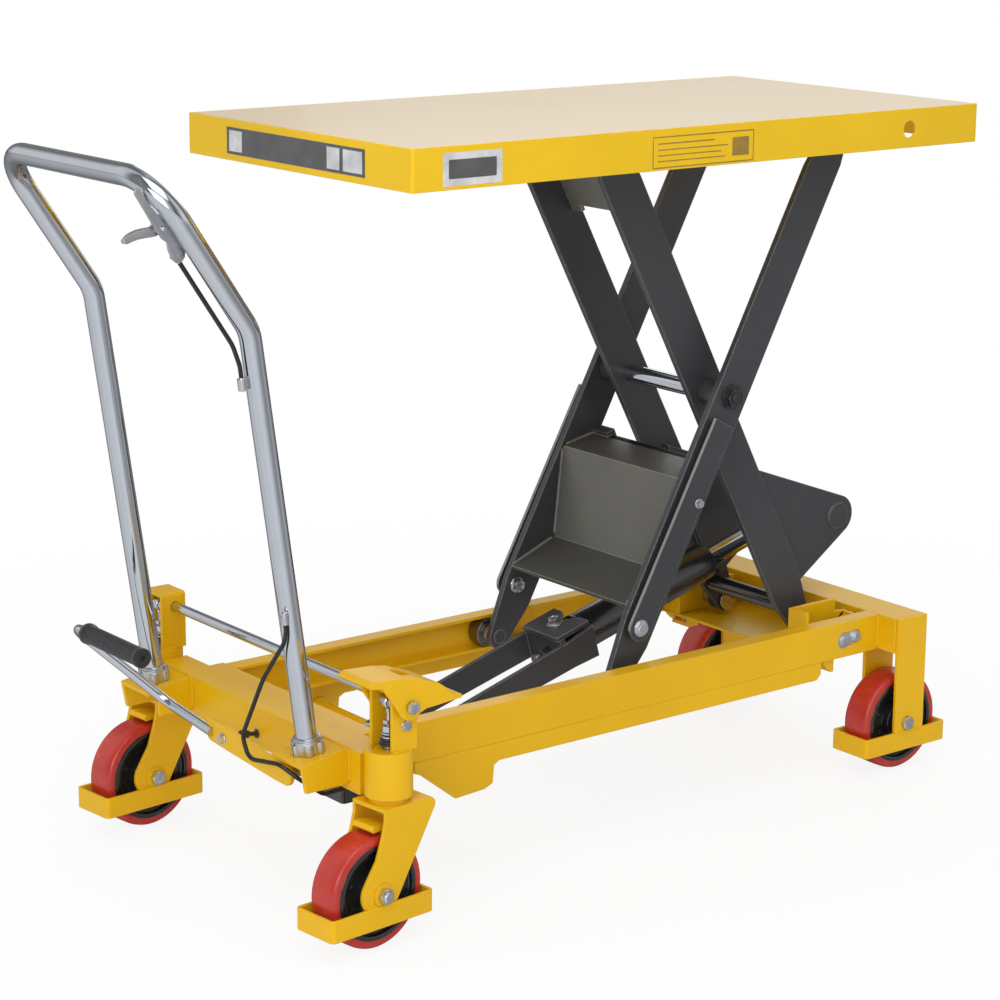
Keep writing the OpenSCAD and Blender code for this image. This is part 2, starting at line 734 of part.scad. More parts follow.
// [x, z]
fork_outline = [[-33,186.2],[46,186.2],[51,181],[51,174],[-15,60],[-70,70],[-66,95],[-48,122],
  [-38,150],[-33,170]];
module fork() color(YELLOW) {
  difference() {
    union() {
      for (y=[-32.5,27.5]) y_plate(y, y+5) {
        polygon(fork_outline);
        disc([-43,77], 29, 64);
      }
      block([-33,-27.6,181], [79,55.2,5.2]);
      z_cyl(26, 186.1, 192.7, 64);
      z_cyl(20, 186.1, 254.1, 64);
    }
    at_castor_axle() y_cyl(axle_r+0.1, -40, 40);
    z_cyl(7.1, 150, 270, 40);
    z_cyl(9, 160, 187, 40);
  }
  translate([-castor_trail-2,0,0]) guard();
}
module castor_fork_right() castor(-1) fork();
module castor_fork_left() castor(1) fork();
module castor_wheel_right() castor(-1) at_castor_axle() wheel();
module castor_wheel_left() castor(1) at_castor_axle() wheel();

module castor_axle() color(ZINC) at_castor_axle() {
  y_cyl(axle_r, -33.5, 33.5);
  both_sides() {
    y_hex(17, -39.1, -32.6);
    y_cyl(13, -27.4, -24.6);
  }
}
module castor_axles_right() castor(-1) castor_axle();
module castor_axles_left() castor(1) castor_axle();

// Curved shoe over the wheel, with a stem on the swivel axis
shoe_outline = [[-45,157.5],[-42,154.5],[-22,156],[14,150],[17,155],[-20,162],[-42,163.5]];
module brake_shoe() color(YELLOW) {
  y_plate(-19, 19) polygon(shoe_outline);
  z_cyl(6, 157, 178, 40);
}
module brake_shoe_right() castor(-1) brake_shoe();
module brake_shoe_left() castor(1) brake_shoe();

// ---------- central brake ----------
module brake_shaft() color(CHROME) at_xz(brake_axis) {
  crank = brake_axis[0] - castor_x;   // puts the crank pins over the castor axes
  y_cyl(7, -266, 266);
  y_cyl(8.2, -321, -316.2, 40);
  y_cyl(7, -316.3, -284);
  y_cyl(7, 284, 300);
  // crank webs either side of each link eye
  for (y=[-290,-272,266,284]) {
    y_cyl(11, y, y+6);
    y_plate(y, y+6) {
      disc([-crank,0], 7, 32);
      translate([-crank,-7]) square([crank,14]);
    }
  }
  for (y=[-284.1,271.9]) translate([-crank,0,0]) y_cyl(4.5, y, y+12.2);
}

// Rods from the crank pins down through the castor head tubes
module brake_links() color(ZINC) both_sides() castor_axis() {
  translate([0,0,brake_axis[1]]) difference() {
    y_cyl(9.5, -5, 5, 40);
    y_cyl(5.4, -6, 6, 32);
  }
  z_cyl(3.5, 282, 309, 32);
  z_hex(13, 276, 284);
  z_cyl(9, 268.5, 275.9, 40);
  translate([0,0,259.5]) cylinder(r1=13, r2=10, h=9, $fn=40);
  z_cyl(6.5, 178.1, 276.1, 40);
}

// Pedal outlines from the brake axis, [x, z]
pedal_back_tread = [[0,37],[-12,39.5],[-56,42],[-66,37],[-61,33],[-26,31],[-20,26],[-20,0]];
pedal_front_tread = [[0,37],[22,30.5],[44,23],[54,16],[60,8],[66,4],[80,2],[80,-3],[64,-1.5],
  [56,2.5],[48,11],[40,17],[20,24],[0,12]];
pedal_cheek = [[-47,36],[-31,14],[-14,-11],[0,-17.5],[14,-11],[24,-7],[80,-3],[80,1],[66,3],
  [54,15],[44,22],[20,30],[0,35]];
// Rocking pedal over the right tower: the back tread is at -x, the front tread at +x
module brake_pedal() color(YELLOW) at_xz(brake_axis) difference() {
  union() {
    y_plate(-313, -244) difference() {
      union() {
        circle(r=37, $fn=96);
        polygon(pedal_back_tread);
        polygon(pedal_front_tread);
      }
      circle(r=32, $fn=96);
      translate([-60,-60]) square([120,58]);
      translate([-80,-30]) square([60,60]);
    }
    for (y=[-313,-249]) y_plate(y, y+5) {
      circle(r=18, $fn=64);
      polygon(pedal_cheek);
    }
  }
  // window over the tower
  block([-2,-294,8], [26,30,40]);
  y_cyl(7.05, -330, -230);
  // open underside round the tower
  block([-60,-308,-60], [120,59,52]);
}

right_side_rail();
left_side_rail();
rail_skirts();
end_beam();
wheel_legs();
fixed_guards();
front_bolster();
castor_head_tubes();
brake_towers();
handle_brackets();
handle_tube();
handle_collars();
cable_clips();
release_cable();
release_bracket();
release_lever();
lower_pivot_pins();
lower_pivot_brackets();
pin_keepers();
fixed_axles();
ram_pivot_shaft();
pump_body();
pump_plunger();
valve_lever();
inner_arm_right();
inner_arm_left();
inner_arm_plate();
inner_arm_tube();
ram_gussets();
mid_shaft();
outer_arm_right();
outer_arm_left();
outer_arm_box();
lower_rollers();
upper_rollers();
lock_bar_right();
lock_bar_left();
platform_tray();
platform_tracks();
upper_pivot_pins();
ram_yoke();
ram_barrel();
ram_rod();
ram_eye_pin();
fixed_wheel_right();
fixed_wheel_left();
castor_fork_right();
castor_fork_left();
castor_wheel_right();
castor_wheel_left();
castor_axles_right();
castor_axles_left();
brake_shoe_right();
brake_shoe_left();
brake_shaft();
brake_links();
brake_pedal();
pump_hose();
pedal_lever();
pedal_grip();
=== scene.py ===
"""Scissor lift trolley: finished CAD pieces, added fittings, studio and camera.

It stands on z = 0 with its length along X: the push handle and the castors are at -X, the
fixed wheels at +X. "Right" pieces are on the -Y side. Pieces are drawn in millimetres and
scaled to metres; materials, stage, lights and camera are in metres.
"""
import bpy
import bmesh
import math
from mathutils import Matrix, Vector

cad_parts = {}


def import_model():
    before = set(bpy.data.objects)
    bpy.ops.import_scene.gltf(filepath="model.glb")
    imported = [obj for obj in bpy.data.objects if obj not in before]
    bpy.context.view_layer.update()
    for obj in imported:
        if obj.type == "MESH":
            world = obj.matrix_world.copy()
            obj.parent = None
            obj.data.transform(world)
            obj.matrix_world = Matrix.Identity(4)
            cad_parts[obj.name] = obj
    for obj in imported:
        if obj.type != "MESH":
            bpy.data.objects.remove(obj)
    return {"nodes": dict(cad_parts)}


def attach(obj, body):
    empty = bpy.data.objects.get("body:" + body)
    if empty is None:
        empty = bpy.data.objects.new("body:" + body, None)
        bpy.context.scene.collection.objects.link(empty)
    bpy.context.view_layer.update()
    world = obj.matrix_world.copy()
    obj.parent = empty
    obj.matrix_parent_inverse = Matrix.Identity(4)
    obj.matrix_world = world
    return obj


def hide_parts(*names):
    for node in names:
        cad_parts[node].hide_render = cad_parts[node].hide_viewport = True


cad_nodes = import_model()["nodes"]
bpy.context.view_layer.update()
scene = bpy.context.scene

MM = 0.001
ALONG_X, ALONG_Y, ALONG_Z = (1, 0, 0), (0, 1, 0), (0, 0, 1)
SIDES = ((-1, "right"), (1, "left"))        # sign of y, name

# ------------------------------------------------------------------ places (mm)
# Scissor: the two arms of each side cross at MID; the outer arm rises towards +X
ARM_ANGLE = math.radians(62)
ARM_COS, ARM_SIN = math.cos(ARM_ANGLE), math.sin(ARM_ANGLE)
HALF_ARM = 437.2
LOWER_Z = 214.0
MID_X = 147.0
INNER_FOOT_X = MID_X + HALF_ARM * ARM_COS
OUTER_FOOT_X = MID_X - HALF_ARM * ARM_COS
MID_Z = LOWER_Z + HALF_ARM * ARM_SIN
UPPER_Z = LOWER_Z + 2 * HALF_ARM * ARM_SIN

# Ram: its foot, its head, the direction between them and the upward normal
RAM_FOOT = Vector((-350, 0, 148))
RAM_HEAD = Vector((430, 0, 371))
RAM_AXIS = (RAM_HEAD - RAM_FOOT).normalized()
RAM_NORMAL = Vector((-RAM_AXIS.z, 0, RAM_AXIS.x))
RAM_AXIS_ROUNDED = Vector((0.96148, 0, 0.27489))    # divides the faces of the barrel

# Wheels
AXLE_Z = 75
CASTOR_X, CASTOR_Y = -555, 278
CASTOR_TRAIL = -38
CASTOR_YAW = math.radians(5.5)
FIXED_WHEEL_X, FIXED_WHEEL_Y = 444, 192
WHEEL_HALF_WIDTH = 24.0

# Handle, brake, pedal and platform faces
HANDLE_Y = 190
HANDLE_CORNERS = [(-617.2, -HANDLE_Y, 232), (-699, -HANDLE_Y, 794), (-829, -HANDLE_Y, 987),
                  (-829, HANDLE_Y, 987), (-699, HANDLE_Y, 794), (-617.2, HANDLE_Y, 232)]
BRAKE_SHAFT_Z = 316
PEDAL_Y, PEDAL_Z = -174, 207
PEDAL_GRIP = (-760, 0, 346.5)
PLATFORM_SIDE_Y = -260.0
PLATFORM_END_X = -505


def on_outer_arm(s, y, n):
    """s up the outer arm from its foot, n off its underside, towards +X and down."""
    return Vector((OUTER_FOOT_X + s * ARM_COS + n * ARM_SIN, y,
                   LOWER_Z + s * ARM_SIN - n * ARM_COS))


def up_outer_arm(point):
    """Distance of a point up the outer arm from its foot."""
    return (point.x - OUTER_FOOT_X) * ARM_COS + (point.z - LOWER_Z) * ARM_SIN


def on_ram(s, y, n):
    """s along the ram from its foot, n above its axis."""
    return RAM_FOOT + RAM_AXIS * s + RAM_NORMAL * n + Vector((0, y, 0))


def castor_direction(x, y, z):
    cos, sin = math.cos(CASTOR_YAW), math.sin(CASTOR_YAW)
    return Vector((x * cos - y * sin, x * sin + y * cos, z))


def castor_point(side, x, y, z):
    """A point in the turned frame of one castor, measured from its swivel axis."""
    cos, sin = math.cos(CASTOR_YAW), math.sin(CASTOR_YAW)
    return Vector((CASTOR_X + x * cos - y * sin, side * CASTOR_Y + x * sin + y * cos, z))


# ------------------------------------------------------------------ shader graphs
def grey(value):
    return (value, value, value)


def tint(rgb, gain=1.0, lift=0.0):
    return tuple(min(1, channel * gain + lift) for channel in rgb)


class Graph:
    """An emptied node tree, with one short method for each kind of node used."""

    def __init__(self, owner):
        owner.use_nodes = True
        self.tree = owner.node_tree
        self.tree.nodes.clear()

    def feed(self, node, inputs):
        """Link each output in `inputs` to its socket, or set the socket to the value."""
        for key, value in inputs.items():
            socket = node.inputs[key]
            if isinstance(value, bpy.types.NodeSocket):
                self.tree.links.new(value, socket)
            elif socket.type == "RGBA":
                socket.default_value = (*value, 1)
            else:
                socket.default_value = value

    def node(self, kind, inputs=None, **settings):
        node = self.tree.nodes.new("ShaderNode" + kind)
        for setting, value in settings.items():
            setattr(node, setting, value)
        self.feed(node, inputs or {})
        return node

    def texture_coords(self, kind):
        return self.node("TexCoord").outputs[kind]

    def separate(self, vector):
        return self.node("SeparateXYZ", {0: vector}).outputs

    def ramp(self, value, stops):
        """stops: (position, rgb)"""
        node = self.node("ValToRGB", {0: value})
        elements = node.color_ramp.elements
        while len(elements) < len(stops):
            elements.new(0.5)
        for i, (position, rgb) in enumerate(stops):
            elements[i].position = position
            elements[i].color = (*rgb, 1)
        return node.outputs[0]

    def remap(self, value, over, to):
        return self.node("MapRange", {"Value": value, "From Min": over[0], "From Max": over[1],
                                      "To Min": to[0], "To Max": to[1]}).outputs[0]

    def mix(self, factor, a, b, blend="MIX"):
        return self.node("Mix", {0: factor, 6: a, 7: b},
                         data_type="RGBA", blend_type=blend).outputs[2]

    def mix_shaders(self, factor, a, b):
        return self.node("MixShader", {0: factor, 1: a, 2: b}).outputs[0]

    def calculate(self, operation, a, b=None, clamp=False):
        inputs = {0: a} if b is None else {0: a, 1: b}
        return self.node("Math", inputs, operation=operation, use_clamp=clamp).outputs[0]

    def multiply(self, a, b, clamp=False):
        return self.calculate("MULTIPLY", a, b, clamp)

    def add(self, a, b):
        return self.calculate("ADD", a, b)


class Material(Graph):
    """A named material: one Principled surface, textured in object coordinates."""

    def __init__(self, name):
        self.data = bpy.data.materials.new(name)
        super().__init__(self.data)
        self.surface = self.node("BsdfPrincipled")
        self.output = self.node("OutputMaterial", {0: self.surface.outputs[0]})
        self.coords = self.texture_coords("Object")

    def shade(self, inputs):
        self.feed(self.surface, inputs)

    def noise(self, scale, detail=3.0, roughness=0.5, distortion=0.0, at=None):
        return self.node("TexNoise", {
            "Scale": scale, "Detail": detail, "Roughness": roughness,
            "Distortion": distortion, "Vector": at or self.coords}).outputs["Fac"]

    def patches(self, over, to, **noise):
        """Noise, with its values in the range `over` spread across the range `to`."""
        return self.remap(self.noise(**noise), over, to)

    def bump(self, height, strength, distance, normal=None):
        inputs = {"Strength": strength, "Distance": distance, "Height": height}
        if normal is not None:
            inputs["Normal"] = normal
        return self.node("Bump", inputs).outputs[0]

    def soft_edge(self, radius):
        """A rounded-edge normal, and how close a point is to an edge."""
        rounded = self.node("Bevel", {"Radius": radius}, samples=4).outputs[0]
        flat = self.node("NewGeometry").outputs["Normal"]
        dot = self.node("VectorMath", {0: rounded, 1: flat}, operation="DOT_PRODUCT")
        return rounded, self.calculate("SUBTRACT", 1.0, dot.outputs["Value"], clamp=True)


# ------------------------------------------------------------------ materials
def paint(name, rgb, edge_rgb, *, roughness, peel, coat, variation, edge_radius, edge_gain,
          specular=0.5):
    """Coated paint with mottling, patchy lighter edges that are partly wear and partly a
    painted highlight, scuffs and a slight orange peel.
    """
    m = Material(name)
    colour = m.ramp(m.noise(scale=3.1, roughness=0.55),
                    [(0.3, tint(rgb, 1 - variation * 2.2)), (0.7, tint(rgb, 1 + variation))])
    mottle = m.patches(over=(0.35, 0.75), to=(0.0, 0.22), scale=38, detail=4, roughness=0.6)
    colour = m.mix(mottle, colour, tint(rgb, 0.93))

    # Lighter colour along the edges in patches: partly wear, partly a painted highlight on the
    # edges.
    rounded, edge = m.soft_edge(edge_radius)
    edge_wear_and_highlight = m.multiply(
        m.multiply(edge, edge_gain, clamp=True),
        m.patches(over=(0.3, 0.62), to=(0.25, 1.0), scale=160, detail=4, roughness=0.7))
    colour = m.mix(edge_wear_and_highlight, colour, edge_rgb)

    scuffs = m.multiply(
        m.patches(over=(0.71, 0.78), to=(0.0, 0.35), scale=210, detail=2, distortion=1.6),
        m.patches(over=(0.52, 0.68), to=(0.0, 1.0), scale=9, detail=2))
    colour = m.mix(scuffs, colour, tint(rgb, 1.25, lift=0.02))

    height = m.add(m.noise(scale=520, detail=2), m.multiply(m.noise(scale=90, detail=2), 0.8))
    m.shade({
        "Base Color": colour,
        "Roughness": m.patches(over=(0.3, 0.75), to=(roughness * 0.85, roughness * 1.3),
                               scale=22, detail=5, roughness=0.65),
        "Coat Weight": coat,
        "Coat Roughness": 0.16,
        "Specular IOR Level": specular,
        "Normal": m.bump(height, strength=peel, distance=0.0006, normal=rounded),
        "Coat Normal": rounded})
    return m


def deck_paint():
    """Yellow paint, with a pale field inside a yellow border on the platform top."""
    m = paint("deck_two_tone", (0.840, 0.525, 0.010), (0.92, 0.60, 0.05), roughness=0.33,
              peel=0.07, coat=0.10, variation=0.04, edge_radius=0.0014, edge_gain=2.5,
              specular=0.24)
    coords = m.texture_coords("Object")
    facing = m.separate(m.texture_coords("Normal"))
    x, y, z = m.separate(coords)
    facing_up = m.remap(facing[2], over=(0.90, 0.97), to=(0, 1))
    at_top = m.remap(z, over=(1.0045, 1.0065), to=(0, 1))
    inside_x = m.remap(m.calculate("ABSOLUTE", x), over=(0.5000, 0.5012), to=(1, 0))
    inside_y = m.remap(m.calculate("ABSOLUTE", y), over=(0.2550, 0.2562), to=(1, 0))
    field = m.multiply(m.multiply(facing_up, at_top), m.multiply(inside_x, inside_y))

    pale = m.ramp(m.noise(scale=2.4, detail=4, roughness=0.55, at=coords),
                  [(0.3, (0.740, 0.610, 0.425)), (0.72, (0.775, 0.650, 0.465))])
    grain = m.patches(over=(0.35, 0.7), to=(0.0, 0.35), scale=420, roughness=0.6, at=coords)
    pale = m.mix(grain, pale, (0.700, 0.570, 0.385))

    yellow, gloss = (m.surface.inputs[socket].links[0].from_socket
                     for socket in ("Base Color", "Roughness"))
    field_roughness = 0.52
    m.shade({
        "Base Color": m.mix(field, yellow, pale),
        "Roughness": m.node("Mix", {0: field, 2: gloss, 3: field_roughness}).outputs[0]})
    return m


def metal(name, rgb, *, roughness, scratch, blotch, grain=(1, 1, 1), edge_rgb=None, pits=0.0):
    """Bare or plated metal; grain scales the scratch texture on each axis."""
    m = Material(name)
    stretched = m.node("Mapping", {"Vector": m.coords, "Scale": grain}).outputs[0]
    colour = m.ramp(m.noise(scale=14, detail=4, roughness=0.6),
                    [(0.3, tint(rgb, 1 - blotch * 2)), (0.7, rgb)])
    fine = m.noise(scale=700, roughness=0.6, at=stretched)
    # Painted highlight: a lighter colour along every edge.
    if edge_rgb is not None:
        edge = m.soft_edge(radius=0.0006)[1]
        colour = m.mix(m.multiply(edge, 2.0, clamp=True), colour, edge_rgb)
    smudges = m.patches(over=(0.3, 0.75), to=(roughness * 0.8, roughness * 1.35),
                        scale=40, detail=5, roughness=0.65)
    height = m.add(fine, m.multiply(m.noise(scale=160, detail=2), pits))
    m.shade({
        "Metallic": 1.0,
        "Base Color": colour,
        "Roughness": m.add(smudges, m.remap(fine, over=(0.4, 0.8), to=(0.0, scratch * 0.3))),
        "Normal": m.bump(height, strength=scratch, distance=0.0002)})
    return m


def rubber(name, rgb, *, roughness, grain=900, strength=0.12, coat=0.0, sheen=0.0):
    """Rubber or plastic; grain is the scale of the bump and strength its strength."""
    m = Material(name)
    colour = m.ramp(m.noise(scale=30, detail=4, roughness=0.6),
                    [(0.3, tint(rgb, 0.75)), (0.75, tint(rgb, 1.25))])
    dust = m.patches(over=(0.62, 0.8), to=(0.0, 0.25), scale=130, detail=4, roughness=0.7)
    m.shade({
        "Base Color": m.mix(dust, colour, tint(rgb, lift=0.05)),
        "Roughness": m.patches(over=(0.3, 0.75), to=(roughness * 0.85, roughness * 1.2),
                               scale=60, detail=4, roughness=0.6),
        "Coat Weight": coat,
        "Coat Roughness": 0.12,
        "Sheen Weight": sheen,
        "Normal": m.bump(m.noise(scale=grain, roughness=0.6),
                         strength=strength, distance=0.0004)})
    return m


def tread_plastic():
    """Red tyre plastic, scuffed paler in patches."""
    m = Material("red_polyurethane")
    colour = m.ramp(m.noise(scale=12, detail=4, roughness=0.6),
                    [(0.3, (0.43, 0.022, 0.014)), (0.72, (0.56, 0.034, 0.020))])
    scuffs = m.patches(over=(0.55, 0.8), to=(0.0, 0.35), scale=75, detail=5, roughness=0.7)
    height = m.add(m.noise(scale=260, detail=4, roughness=0.6),
                   m.multiply(m.noise(scale=40, detail=2), 1.5))
    m.shade({
        "Base Color": m.mix(scuffs, colour, (0.66, 0.13, 0.09)),
        "Roughness": m.patches(over=(0.3, 0.75), to=(0.24, 0.42),
                               scale=45, detail=5, roughness=0.65),
        "Coat Weight": 0.22,
        "Coat Roughness": 0.14,
        "Subsurface Weight": 0.12,
        "Subsurface Radius": (0.006, 0.001, 0.001),
        "Subsurface Scale": 1.0,
        "Normal": m.bump(height, strength=0.05, distance=0.0006)})
    return m


MATERIALS = {
    "yellow": paint("powder_coat_yellow", (0.820, 0.472, 0.004), (0.92, 0.60, 0.050),
                    roughness=0.33, peel=0.07, coat=0.10, variation=0.045,
                    edge_radius=0.0014, edge_gain=2.5, specular=0.24),
    "charcoal": paint("satin_charcoal", (0.049, 0.051, 0.058), grey(0.46),
                      roughness=0.34, peel=0.07, coat=0.14, variation=0.09,
                      edge_radius=0.0018, edge_gain=6.0, specular=0.38),
    "plate": paint("warm_grey_plate", (0.140, 0.143, 0.130), (0.80, 0.80, 0.77),
                   roughness=0.38, peel=0.08, coat=0.12, variation=0.10,
                   edge_radius=0.0022, edge_gain=5.0, specular=0.4),
    # Painted shade: a darker copy of the plate paint, for the box's end plates.
    "plate_painted_shade": paint("warm_grey_shelf", (0.074, 0.076, 0.070), (0.60, 0.60, 0.56),
                        roughness=0.42, peel=0.08, coat=0.08, variation=0.10,
                        edge_radius=0.0022, edge_gain=5.0, specular=0.3),
    # Painted highlight: a pale copy of the charcoal, for the lock bars' faces turned towards
    # -X and up.
    "painted_highlight_side": paint("worn_edge_steel", (0.30, 0.30, 0.31), grey(0.60),
                        roughness=0.40, peel=0.06, coat=0.05, variation=0.12,
                        edge_radius=0.001, edge_gain=3.0, specular=0.4),
    "black_paint": paint("gloss_black_paint", (0.014, 0.014, 0.017), grey(0.10),
                         roughness=0.24, peel=0.05, coat=0.6, variation=0.1,
                         edge_radius=0.001, edge_gain=1.5),
    "deck": deck_paint(),
    "chrome": metal("chrome_plate", (0.60, 0.63, 0.675), roughness=0.085, scratch=0.03,
                    blotch=0.03, grain=(1, 1, 0.05)),
    "zinc": metal("zinc_plate", (0.70, 0.72, 0.77), roughness=0.24, scratch=0.12,
                  blotch=0.08, edge_rgb=(0.86, 0.87, 0.9)),
    "zinc_dark": metal("dark_bearing_steel", (0.23, 0.22, 0.21), roughness=0.30,
                       scratch=0.15, blotch=0.10, edge_rgb=grey(0.5)),
    "cast": metal("cast_aluminium", (0.62, 0.63, 0.65), roughness=0.32, scratch=0.20,
                  blotch=0.08, edge_rgb=(0.8, 0.8, 0.82), pits=0.6),
    "ring": metal("pale_steel_ring", (0.75, 0.75, 0.76), roughness=0.22, scratch=0.08,
                  blotch=0.05),
    "rubber": rubber("black_rubber", (0.018, 0.018, 0.020), roughness=0.38, sheen=0.15),
    "cable": rubber("cable_sheath", (0.008, 0.008, 0.009), roughness=0.42, grain=1400,
                    strength=0.06, coat=0.05),
    "hub": rubber("gloss_black_hub", (0.014, 0.014, 0.016), roughness=0.24, grain=350,
                  strength=0.10, coat=0.55),
    "label": rubber("blank_label", (0.62, 0.62, 0.64), roughness=0.4, grain=600,
                    strength=0.02, coat=0.2),
    "label_grey": rubber("label_grey", (0.09, 0.09, 0.095), roughness=0.42, grain=600,
                         strength=0.02, coat=0.2),
    "label_line": rubber("label_line", (0.34, 0.20, 0.03), roughness=0.45, grain=600,
                         strength=0.02, coat=0.1),
    "tread": tread_plastic(),
}


# ------------------------------------------------------------------ mesh building (mm)
def basis(axis):
    z = Vector(axis).normalized()
    x = Vector(ALONG_X) if abs(z.x) < 0.8 else Vector(ALONG_Y)
    x = (x - z * x.dot(z)).normalized()
    return x, z.cross(x), z


def mark_sharp(mesh, degrees):
    """Mark open edges, and edges that turn by more than the given angle."""
    bm = bmesh.new()
    bm.from_mesh(mesh)
    limit = math.radians(degrees)
    for edge in bm.edges:
        edge.smooth = len(edge.link_faces) == 2 and edge.calc_face_angle(0) <= limit
    bm.to_mesh(mesh)
    bm.free()


class Part:
    """A mesh gathered from several shapes, then made into one object."""

    def __init__(self):
        self.bm = bmesh.new()

    def loft(self, rings):
        """Skin closed rings of points and cap both ends."""
        rows = [[self.bm.verts.new(point) for point in ring] for ring in rings]
        count = len(rows[0])
        for a, b in zip(rows, rows[1:]):
            for i in range(count):
                j = (i + 1) % count
                self.bm.faces.new((a[i], a[j], b[j], b[i]))
        self.bm.faces.new(rows[0][::-1])
        self.bm.faces.new(rows[-1])

    def lathe(self, profile, centre, axis, segments, material=0, closed=False):
        """profile: (radius, height along axis); a zero radius closes to a point."""
        x, y, z = basis(axis)
        centre = Vector(centre)
        rows = []
        for radius, height in profile:
            if radius < 1e-6:
                rows.append([self.bm.verts.new(centre + z * height)])
                continue
            row = []
            for i in range(segments):
                angle = 2 * math.pi * i / segments
                row.append(self.bm.verts.new(
                    centre + z * height
                    + x * (radius * math.cos(angle)) + y * (radius * math.sin(angle))))
            rows.append(row)
        following = rows[1:] + rows[:1] if closed else rows[1:]
        for a, b in zip(rows, following):
            for i in range(segments):
                j = (i + 1) % segments
                if len(a) == 1:
                    corners = (a[0], b[i], b[j])
                elif len(b) == 1:
                    corners = (a[i], a[j], b[0])
                else:
                    corners = (a[i], a[j], b[j], b[i])
                self.bm.faces.new(corners).material_index = material

    def washer(self, centre, axis, radius, hole, thickness, segments=48, material=0):
        profile = [(hole, 0), (radius - 0.3, 0), (radius, 0.3), (radius, thickness - 0.3),
                   (radius - 0.3, thickness), (hole, thickness)]
        self.lathe(profile, centre, axis, segments, material, closed=True)

    def hexagon(self, centre, axis, across_flats, height, both_ends=False, turn=0.0, cup=0.0):
        """Hexagonal head chamfered at the top or at both ends; cup is a dish in the top."""
        x, y, z = basis(axis)
        centre = Vector(centre)
        face_radius = across_flats / 2 * 0.955
        segments = 48

        def column(angle):
            from_flat = (math.degrees(angle) + 30) % 60 - 30
            radius = across_flats / 2 / math.cos(math.radians(from_flat))
            chamfer = max(0.0, (radius - face_radius)) * 0.58
            stations = [(face_radius, 0), (radius, chamfer)] if both_ends else [(radius, 0)]
            stations += [(radius, height - chamfer), (face_radius, height)]
            if cup:
                stations += [(face_radius * 0.72, height), (face_radius * 0.62, height - cup)]
            return [centre + x * (r * math.cos(angle + turn))
                    + y * (r * math.sin(angle + turn)) + z * h for r, h in stations]

        self.loft(zip(*(column(2 * math.pi * i / segments) for i in range(segments))))

    def sweep(self, stations, radius, segments):
        """stations: (point, tangent); radius: a number or a function of arc length."""
        length = 0.0
        rings = []
        previous = stations[0][0]
        normal = basis(stations[0][1])[0]
        for point, tangent in stations:
            normal = (normal - tangent * normal.dot(tangent)).normalized()
            binormal = tangent.cross(normal)
            length += (point - previous).length
            previous = point
            r = radius(length) if callable(radius) else radius
            angles = [2 * math.pi * i / segments for i in range(segments)]
            rings.append([point + normal * (r * math.cos(angle))
                          + binormal * (r * math.sin(angle)) for angle in angles])
        self.loft(rings)

    def slab(self, corners, push):
        """Four corners pushed out into a thin block."""
        push = Vector(push)
        low = [self.bm.verts.new(Vector(corner)) for corner in corners]
        high = [self.bm.verts.new(Vector(corner) + push) for corner in corners]
        self.bm.faces.new(low)
        self.bm.faces.new(high[::-1])
        for i in range(4):
            j = (i + 1) % 4
            self.bm.faces.new((low[i], high[i], high[j], low[j]))

    def finish(self, name, materials, body, sharp=40, replaces=()):
        """materials: a name or a list of names; sharp 0 leaves the faces flat."""
        bmesh.ops.remove_doubles(self.bm, verts=self.bm.verts, dist=1e-7)
        bmesh.ops.recalc_face_normals(self.bm, faces=self.bm.faces)
        mesh = bpy.data.meshes.new(name)
        self.bm.to_mesh(mesh)
        self.bm.free()
        mesh.transform(Matrix.Scale(MM, 4))
        obj = bpy.data.objects.new(name, mesh)
        scene.collection.objects.link(obj)
        if isinstance(materials, str):
            materials = [materials]
        for material in materials:
            mesh.materials.append(MATERIALS[material].data)
        if sharp:
            for face in mesh.polygons:
                face.use_smooth = True
            mark_sharp(mesh, sharp)
        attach(obj, body)
        if replaces:
            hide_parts(*replaces)
        return obj


def path(corners, bend_radii, step, arc=12):
    """(point, tangent) along straight runs and circular bends; arc in degrees."""
    corners = [Vector(corner) for corner in corners]

    def setback(i):
        if i == 0 or i == len(corners) - 1:
            return 0.0
        before = (corners[i] - corners[i - 1]).normalized()
        after = (corners[i + 1] - corners[i]).normalized()
        return bend_radii[i - 1] * math.tan(before.angle(after) / 2)

    stations = []
    for i in range(len(corners) - 1):
        heading = (corners[i + 1] - corners[i]).normalized()
        start = corners[i] + heading * setback(i)
        end = corners[i + 1] - heading * setback(i + 1)
        count = max(1, int((end - start).length / step))
        for k in range(count + 1):
            stations.append((start.lerp(end, k / count), heading.copy()))
        if i < len(corners) - 2:
            turned = (corners[i + 2] - corners[i + 1]).normalized()
            angle = heading.angle(turned)
            if angle < 1e-4:
                continue
            radius = bend_radii[i]
            inward = (turned - heading * heading.dot(turned)).normalized()
            centre = end + inward * radius
            count = max(2, int(math.degrees(angle) / arc) + 1)
            for k in range(1, count):
                q = angle * k / count
                point = (centre - inward * (radius * math.cos(q))
                         + heading * (radius * math.sin(q)))
                stations.append((point, heading * math.cos(q) + inward * math.sin(q)))
    spaced = [stations[0]]
    for station in stations[1:]:
        if (station[0] - spaced[-1][0]).length > 0.05:
            spaced.append(station)
    return spaced


def direction(start, end):
    return (Vector(end) - Vector(start)).normalized()


def arc_points(x, y, radius, degrees):
    return [(x + radius * math.cos(math.radians(a)), y + radius * math.sin(math.radians(a)))
            for a in degrees]


def thread(start, turns, crest, root, pitch=1.0):
    """Lathe profile of a thread; a negative pitch runs down the axis."""
    profile = []
    for k in range(turns):
        profile += [(crest, start + k * pitch), (root, start + (k + 0.5) * pitch)]
    return profile


